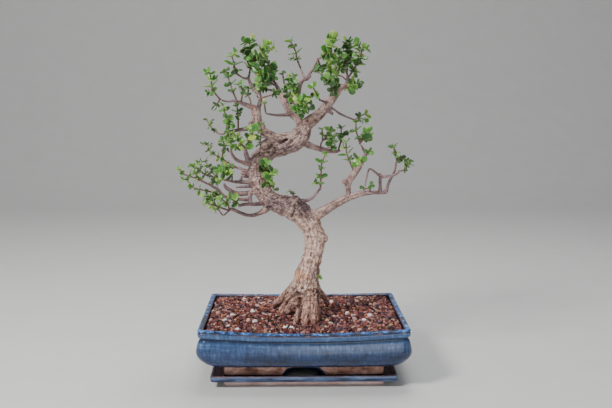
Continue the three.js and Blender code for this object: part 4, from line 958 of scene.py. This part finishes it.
class Stem:
    """One leafy stem: its path, its joints where leaf pairs stand, its leaves and side twigs."""

    def __init__(self, name, lead, points):
        pairs, leaf, first = lead
        path = np.array(points, float)
        marks = np.concatenate([[0], np.cumsum(norm(np.diff(path, axis=0), axis=1))])
        total = marks[-1]
        start = first * total
        reach = total - NODE_H - start
        count = min(int(pairs), math.floor(reach / NODE_STEP) + 1)
        lows = [total - NODE_H if count == 1 else start + reach * k / (count - 1) for k in range(count)]
        stops = [(s, -1) for s in marks[:-1] if s < start - 2] + [(s, k) for k, s in enumerate(lows)]
        stops = sorted(stops + [(s + NODE_H, -1) for s in lows], key=lambda q: q[0])
        fine = np.array([point_at(path, s) for s, _ in stops])
        self.name, self.leaf, self.count, self.foot = name, leaf, count, fine[0]
        self.rows = [[*p, (STEM_R + (STEM_TIP_R - STEM_R) * s / total) * (1.12 if k >= 0 else 0.92)]
                     for p, (s, k) in zip(fine, stops)]
        frames = frames_along(fine)
        self.joints = [(k, (fine[i] + fine[i + 1]) * 0.5, frames[i]) for i, (_, k) in enumerate(stops) if k >= 0]
        slim = [[*p, STEM_R + (STEM_TIP_R - STEM_R) * i / (len(path) - 1)] for i, p in enumerate(path)]
        self.samples, self.leaves, self.twigs = samples(slim, 1.2), [], []
        plain = (0.65, 0.55, 0.95, 0.7) if name.startswith("left") else (0.4, 0.55, 1, 0.78)
        self.bushy, self.added, self.scale, self.wide = DRESS.get(name, plain)


def half_width(t):
    for (t0, w0), (t1, w1) in zip(OUTLINE[:-1], OUTLINE[1:]):
        if t <= t1:
            return w0 + (w1 - w0) * (t - t0) / (t1 - t0)


LEAF_SPOTS = np.array([[t, s * half_width(t) * LEAF_WIDTH] for t in (0.2, 0.33, 0.46, 0.58, 0.7, 0.82, 0.95)
                       for s in (-1, -0.6, -0.2, 0.2, 0.6, 1)])
# Swing and size of a leaf's tries to find room
LEAF_TRIES = ((0, 1), (0.4, 0.95), (-0.4, 0.95), (0.7, 0.85), (-0.7, 0.85), (0.2, 0.68))


class Leaf:
    """A leaf's place on its stem; pair tells which joint and growth it belongs to."""

    def __init__(self, stem, pair, foot, way, length):
        self.stem, self.pair, self.foot, self.length = stem, pair, foot, length
        self.along, self.face = way
        self.side = np.cross(self.along, self.face)
        self.samples = foot + LEAF_SPOTS[:, :1] * length * self.along + LEAF_SPOTS[:, 1:] * length * self.side


def apart(spots, others, reach):
    """True where no two points of the sets are nearer than reach."""
    return not (norm(spots[:, None, :] - others[None, :, :3], axis=2) < reach).any()


def leaf_way(frame, turn, lift, roll):
    """A leaf's direction and face from its turn about the stem, its rise and its roll."""
    along, across, over = frame
    way = (across * math.cos(turn) + over * math.sin(turn)) * math.cos(lift) + along * math.sin(lift)
    flat = unit(along - way * np.dot(along, way))
    return way, flat * math.cos(roll) + np.cross(flat, way) * math.sin(roll)


def grow_leaves():
    """Leaves in crossed pairs up each stem, kept clear of wood and of one another, then smaller ones between."""
    names = [name for name, *_ in STEMS]
    ends = [points[0] for name, _, points in STEMS if names.count(name) > 1]
    limbs = [trimmed(rows) if rows[-1][:3] in ends else rows for rows in LIMBS]
    woods = np.concatenate([samples(rows, 2) for rows in [TRUNK, *ROOTS, *limbs]])
    stems = [Stem(*row) for row in STEMS]
    leaves = []

    def fits(leaf, slack):
        spots, outer = leaf.samples, leaf.samples[12:]
        near = woods[norm(woods[:, :3] - leaf.foot, axis=1) < WOOD_REACH]
        if len(near) and not apart(outer, near, near[:, 3] + WOOD_ROOM * slack):
            return False
        for stem in stems:
            if stem.name != leaf.stem.name and not apart(spots, stem.samples, stem.samples[:, 3] + STEM_ROOM * slack):
                return False
        for other in leaves:
            if norm(other.foot - leaf.foot) > LEAF_REACH:
                continue
            if other.stem.name != leaf.stem.name:
                if not apart(spots, other.samples, CLEAR * slack):
                    return False
            elif other.pair != leaf.pair and not apart(outer, other.samples[12:], PAIR_ROOM * slack):
                return False
        return True

    def grow(leaf, slack):
        """Keeps a leaf if it has room."""
        room = fits(leaf, slack)
        if room:
            leaves.append(leaf)
            leaf.stem.leaves.append(leaf)
        return room

    def settle_leaf(stem, pair, foot, frame, turn, lift, roll, size, slack=1.0):
        """Swings a leaf to and fro, smaller each time, until it has room or the tries end."""
        any(grow(Leaf(stem, pair, foot, leaf_way(frame, turn + swing, lift, roll), size * scale), slack)
            for swing, scale in LEAF_TRIES)

    draw = own_draw()
    for n, stem in enumerate(stems):
        stem.turn = next(draw) * 1.2 - 0.6
        for k, foot, frame in stem.joints:
            last = k == stem.count - 1
            for wall in (k % 2, k % 2 + 2):
                turn = stem.turn + wall * math.pi / 2 + (next(draw) * 0.5 - 0.25)
                lift = (0.3 if last else 0.1) + next(draw) * 0.55
                roll = next(draw) * 1.3 - 0.65
                size = stem.leaf * (0.75 if last else 0.92) * (0.88 + next(draw) * 0.3)
                settle_leaf(stem, (n, k), foot, frame, turn, lift, roll, size)
    rng = random.Random(LEAF_SEED)
    for n, stem in enumerate(stems):
        for k, joint, frame in stem.joints:
            for wall in ((k + 1) % 2, (k + 1) % 2 + 2):
                foot = joint + frame[0] * rng.uniform(-0.5, 1.5)
                size = stem.leaf * stem.added * rng.uniform(0.8, 1.25)
                turn, lift, roll = stem.turn + wall * math.pi / 2, rng.uniform(0.1, 0.6), rng.uniform(-0.5, 0.5)
                settle_leaf(stem, (n, k, 1), foot, frame, turn, lift, roll, size, 0.55)
    for n, stem in enumerate(stems):
        for k, foot, frame in stem.joints:
            for twig in range(2 if stem.bushy > 0.8 else 1):
                if rng.random() > stem.bushy:
                    continue
                way, _ = leaf_way(frame, rng.uniform(0, 6.3), rng.uniform(0.2, 0.8), 0)
                tip = foot + way * rng.uniform(4, 9)
                turn, own, grown = rng.uniform(0, 3), frames_along(np.array([foot, tip]))[0], 0
                for wall, back in ((0, 0), (2, 0), (1, 2.5), (3, 2.5)):
                    size = stem.leaf * stem.added * rng.uniform(0.8, 1.25)
                    aim = leaf_way(own, turn + wall * math.pi / 2, rng.uniform(0.2, 0.9), rng.uniform(-0.7, 0.7))
                    grown += grow(Leaf(stem, (n, k, 2 + twig), tip - way * back, aim, size), 0.5)
                if grown:
                    stem.twigs.append((foot, tip))
    return limbs, woods, stems


def leaf_mesh(rng, leaf, scale, wide):
    """Plump obovate blade with a rounded edge and a slight cup: its points, faces and spots."""
    points, spots, n = [], [], 12
    cup, droop, fat = rng.uniform(0.02, 0.14), rng.uniform(-0.02, 0.12), rng.uniform(0.85, 1.1)
    skew = rng.uniform(-0.05, 0.05)
    plump, wide = 9.5 / max(8.0, leaf.length), wide * rng.uniform(0.92, 1.12)
    for t in (0.02, 0.09, 0.2, 0.34, 0.5, 0.66, 0.8, 0.91, 0.975):
        u = t ** 1.45
        half = 0.5 * (4 * u * (1 - u)) ** 0.58 * wide
        half = max(half, 0.07 if t < 0.1 else half)
        thick = (0.095 if t > 0.12 else 0.075) * fat * (1 - 0.35 * t) * plump
        for k in range(n):
            s, h = math.cos(k / n * TURN), math.sin(k / n * TURN)
            rise = cup * (s * half * 2) ** 2 * 0.9 - droop * t * t
            points.append((t, s * half + skew * t, rise + thick * h * abs(h) ** 0.1))
            spots.append((t, abs(s), 0))
    base = len(points) - n
    faces = [(a + i, a + i + n, a + (i + 1) % n + n, a + (i + 1) % n) for a in range(0, base, n) for i in range(n)]
    faces += [tuple(range(n)), *((base + i, base + n, base + (i + 1) % n) for i in range(n))]
    local = np.array(points + [(1.0, skew, -droop)]) * leaf.length * scale
    world = leaf.foot + local[:, :1] * leaf.along + local[:, 1:2] * leaf.side + local[:, 2:] * leaf.face
    return world, faces, spots + [(1, 0, 0)]


def make_spray(name, stems, finishes):
    """One leafy shoot: thin jointed stems with their leaves."""
    rng = random.Random(name)
    skin = Skin("tint", "age", "spot")
    for stem in stems:
        rings, end, _ = limb_rings(stem.rows, 8, 3)
        skin.loft(rings, 1, end=end, age=np.linspace(0, 1, len(rings)) ** 1.5 * 0.8)
        for foot, tip in stem.twigs:
            rings, end, _ = limb_rings([[*foot, 0.75], [*((foot + tip) * 0.5), 0.6], [*tip, 0.5]], 6, 2)
            skin.loft(rings, 1, end=end, age=0.8)
    if len(stems) > 1:
        centre, r = stems[0].foot, KNUCKLE_R * 0.85
        skin.loft(ball_rings(centre, r, (-1.1, -0.6, 0, 0.6, 1.1), 10), 1, centre - (0, 0, r), centre + (0, 0, r))
    for stem in stems:
        mood = rng.gauss(0.5, 0.12) + (0.04 if name.startswith("left") else -0.05)
        for leaf in stem.leaves:
            world, faces, spots = leaf_mesh(rng, leaf, stem.scale, stem.wide)
            tint = mood + rng.gauss(0, 0.2) + 0.16 * leaf.pair[1] / max(1, stem.count - 1)
            age = 0.55 if rng.random() < 0.02 else 0.0
            skin.add(world, faces, tint=min(1, max(0, tint)), age=age, spot=spots)
    make_piece(name + "_leaves", skin, finishes, "spray_" + name)


def make_base_sprout(finishes):
    """Young leaves that break from the old wood low on the trunk."""
    rng = random.Random(SPROUT_SEED)
    rings, end, _ = limb_rings([[14, -34, 124, 0.9], [18, -36, 127, 0.8], [19.4, -37, 128.6, 0.6]], 8, 3)
    skin = Skin("tint", "age", "spot")
    skin.loft(rings, 1, end=end, age=0.7)
    for way, size in (((0.5, -0.5, 0.7), 5.5), ((0.8, -0.4, -0.2), 5), ((0.3, 0.6, 0.6), 4.5)):
        along = unit(np.array(way))
        leaf = Leaf(None, None, np.array([19.2, -36.9, 128.4]), (along, unit(np.cross(along, (0.9, 0.2, 0.3)))), size)
        world, faces, spots = leaf_mesh(rng, leaf, 1, 0.9)
        skin.add(world, faces, tint=0.7, age=0.15, spot=spots)
    make_piece("base_sprout", skin, finishes, "")


def as_tree(points):
    tree = kdtree.KDTree(len(points))
    for i, p in enumerate(points):
        tree.insert(p, i)
    tree.balance()
    return tree


class LimbMap:
    """Where points lie on the limbs: girth, and place across and along the nearest limb."""

    def __init__(self, limbs):
        self.rows = []
        for n, rows in enumerate(limbs):
            fine, _ = curve_through(rows, [8] * (len(rows) - 1))
            steps = np.concatenate([[0], np.cumsum(norm(np.diff(fine[:, :3], axis=0), axis=1))])
            for q, s, way in zip(fine, steps, frames_along(fine[:, :3])):
                self.rows.append((Vector(q[:3]), q[3], [Vector(w) for w in way], s + 61 * n))
        self.tree = as_tree([row[0] for row in self.rows])

    def find(self, p):
        near = [self.rows[i] for _, i, _ in self.tree.find_n(p, 9)]
        centre, r, (along, across, over), s = min(near, key=lambda row: (p - row[0]).length - row[1])
        d = p - centre
        return r, Vector((d.dot(across), d.dot(over), s + d.dot(along)))


def closeness(points, kind, gain):
    """1 near the bark lines of a kind, 0 beyond their reach, for many points; a line may be one spot."""
    best = np.zeros(len(points))
    for name, (reach, strength), way in BARK_LINES:
        way = np.array(way)
        for a, b in zip(way, way[1:] if len(way) > 1 else way) if name == kind else ():
            share = np.clip((points - a) @ (b - a) / max((b - a) @ (b - a), 1e-6), 0, 1)
            gap = norm(points - a - share[:, None] * (b - a), axis=1)
            best = np.maximum(best, strength * np.minimum(1, (1 - gap / reach) * gain))
    return best


def bark_marks(points, limb_map):
    """Girth, grain direction and the marks of scars, patches, dark creases with painted shadow, and painted shade for
    points on the bark.
    """
    found = [limb_map.find(Vector(p)) for p in points]
    marks = {"girth": [r for r, _ in found], "grain": [tuple(q * MM) for _, q in found]}
    for kind, gain in (("scar", 2), ("ochre", 2), ("fold", 1.6), ("dusk", 1.3)):
        marks[kind] = closeness(np.array(points), kind, gain)
    return marks


def make_trunk(stout, limb_map, finish):
    """Trunk, roots and stout limbs grown into one skin with rough bark."""
    skin = Skin()
    for rows, sides, gnarl in [(TRUNK, 28, 0.05)] + [(r, 16, 0.05) for r in ROOTS] + [(r, 14, 0.02) for r in stout]:
        rings, end, _ = limb_rings(rows, sides, 5, gnarl, 0.12, 0.0, rows[0][0])
        skin.loft(rings, end=end)
    for *centre, r in BURLS:
        skin.loft(ball_rings(centre, r, (-1.2, -0.7, -0.2, 0.3, 0.8, 1.2), 12, 1.25))
    trunk = new_piece("trunk_bark", skin)
    mesh = trunk.modifiers.new("skin", "REMESH")
    mesh.mode, mesh.voxel_size, mesh.use_smooth_shade = "VOXEL", TRUNK_STEP * MM, True
    soft = trunk.modifiers.new("soft", "SMOOTH")
    soft.factor, soft.iterations = 0.6, 3
    settle(trunk)
    points = [v.co / MM for v in trunk.data.vertices]
    normals = [v.normal.copy() for v in trunk.data.vertices]
    marks = bark_marks(points, limb_map)
    dips, moved = [], []
    for p, normal, r, q, fold in zip(points, normals, marks["girth"], marks["grain"], marks["fold"]):
        q = Vector(q) / MM
        lump = noise.noise(p * 0.075) * 0.07 * r
        ridge = 0.32 - abs(noise.noise(Vector((q.x * 0.3, q.y * 0.3, q.z * 0.085)))) * 1.6
        ring = noise.noise(Vector((q.x * 0.07, q.y * 0.07, q.z * 0.5)))
        rough = ridge * min(0.85, 0.07 * r) + ring * min(0.5, 0.045 * r)
        rough += noise.noise(p * 0.33) * min(0.6, 0.055 * r) + noise.noise(p * 0.95) * 0.2
        dips.append(max(-1, min(1, rough * 1.2)))
        moved.extend((p + normal * (lump + rough - fold * 2.6)) * MM)
    trunk.data.vertices.foreach_set("co", moved)
    trunk.data.update()
    add_marks(trunk.data, {**marks, "dip": dips})
    trunk.data.materials.append(finish)
    claim(trunk, "bonsai_wood")


def make_branches(slim, limb_map, finish):
    skin = Skin("girth")
    for n, rows in enumerate(slim):
        rings, end, radii = limb_rings(rows, 12, 7, 0.03, 0.22, 0.35, n * 3.7)
        skin.loft(rings, end=end, girth=radii)
    skin.marks = {**bark_marks(skin.points, limb_map), **skin.marks, "dip": [0.1] * len(skin.points)}
    make_piece("branch_bark", skin, [finish], "bonsai_wood")


# The whole object

limbs, woods, stems = grow_leaves()
wood_tree = as_tree([q[:3] for q in woods])


def in_wood(p, margin):
    return any((p - Vector(woods[i][:3])).length < woods[i][3] + margin for _, i, _ in wood_tree.find_n(p, 12))


make_tray()
make_pot()
net = net_plastic()
make_net("drainage_net_left", -DRAIN_X, net, "drainage_mesh_left")
make_net("drainage_net_right", DRAIN_X, net, "drainage_mesh_right")
# The soil bed is painted dark: painted shade in the gaps between the grains.
make_soil_bed(grain_skin("soil_dust", 0.5, (0.0, "2c1816"), (1.0, "5c3530")))
make_grains()
bark_skin = bark()
limb_map = LimbMap([TRUNK, *ROOTS, *limbs])
make_trunk([rows for rows in limbs if rows[0][3] > STOUT], limb_map, bark_skin)
make_branches([rows for rows in limbs if rows[0][3] <= STOUT], limb_map, bark_skin)
leaf_finishes = [leaf_skin(), shoot_skin()]
make_base_sprout(leaf_finishes)
for name in dict.fromkeys(s.name for s in stems):
    make_spray(name, [s for s in stems if s.name == name], leaf_finishes)


# Floor, light and camera

def make_floor():
    p = Paint("floor", Roughness=0.6)
    p.colour = p.ramp(p.noise(60, 3), (0.2, (0.72, 0.72, 0.71)), (0.8, (0.76, 0.76, 0.75)))
    curve = [(1600 + 900 * math.sin(a), 900 - 900 * math.cos(a)) for a in np.linspace(0.1, math.pi / 2, 14)]
    sweep = [(-4000, 0), (1600, 0), *curve, (2500, 4500)]
    skin = Skin()
    skin.add([(x, y, z - 0.2) for y, z in sweep for x in (-5000, 5000)],
             [(2 * i, 2 * i + 1, 2 * i + 3, 2 * i + 2) for i in range(len(sweep) - 1)])
    floor = new_piece("floor", skin)
    floor.data.materials.append(p.feed())
    floor.data.polygons.foreach_set("use_smooth", [True] * len(floor.data.polygons))


def make_light(name, place, size, power, colour=(1, 1, 1), aim=(0, 0, 0.22)):
    lamp = bpy.data.lights.new(name, "AREA")
    lamp.shape, lamp.size, lamp.energy, lamp.color = "DISK", size, power, colour
    light = put(name, lamp)
    light.location = place
    light.rotation_euler = (Vector(aim) - Vector(place)).to_track_quat("-Z", "Y").to_euler()


make_floor()
make_light("key", (-1.0, -1.05, 1.3), 0.45, 31, (1, 0.98, 0.95))
make_light("fill", (0.3, -1.7, 0.22), 1.0, 7.5, (0.96, 0.98, 1), (0, 0, 0.05))
make_light("top", (0.1, 0.3, 1.6), 0.8, 13)
world = bpy.data.worlds.new("studio")
world.use_nodes = True
backdrop = world.node_tree.nodes["Background"].inputs
backdrop[0].default_value, backdrop[1].default_value = (0.9, 0.92, 0.95, 1), 0.3
bpy.context.scene.world = world

lens = bpy.data.cameras.new("camera")
lens.sensor_width, lens.lens = 36, 36 * FOCAL / WIDTH
camera = put("camera", lens)
camera.location = (-0.016, -1.0905, 0.355)
camera.rotation_euler = (math.pi / 2 - math.atan(DOWN / FOCAL), 0, -math.atan(RIGHT / FOCAL))
bpy.context.scene.camera = camera
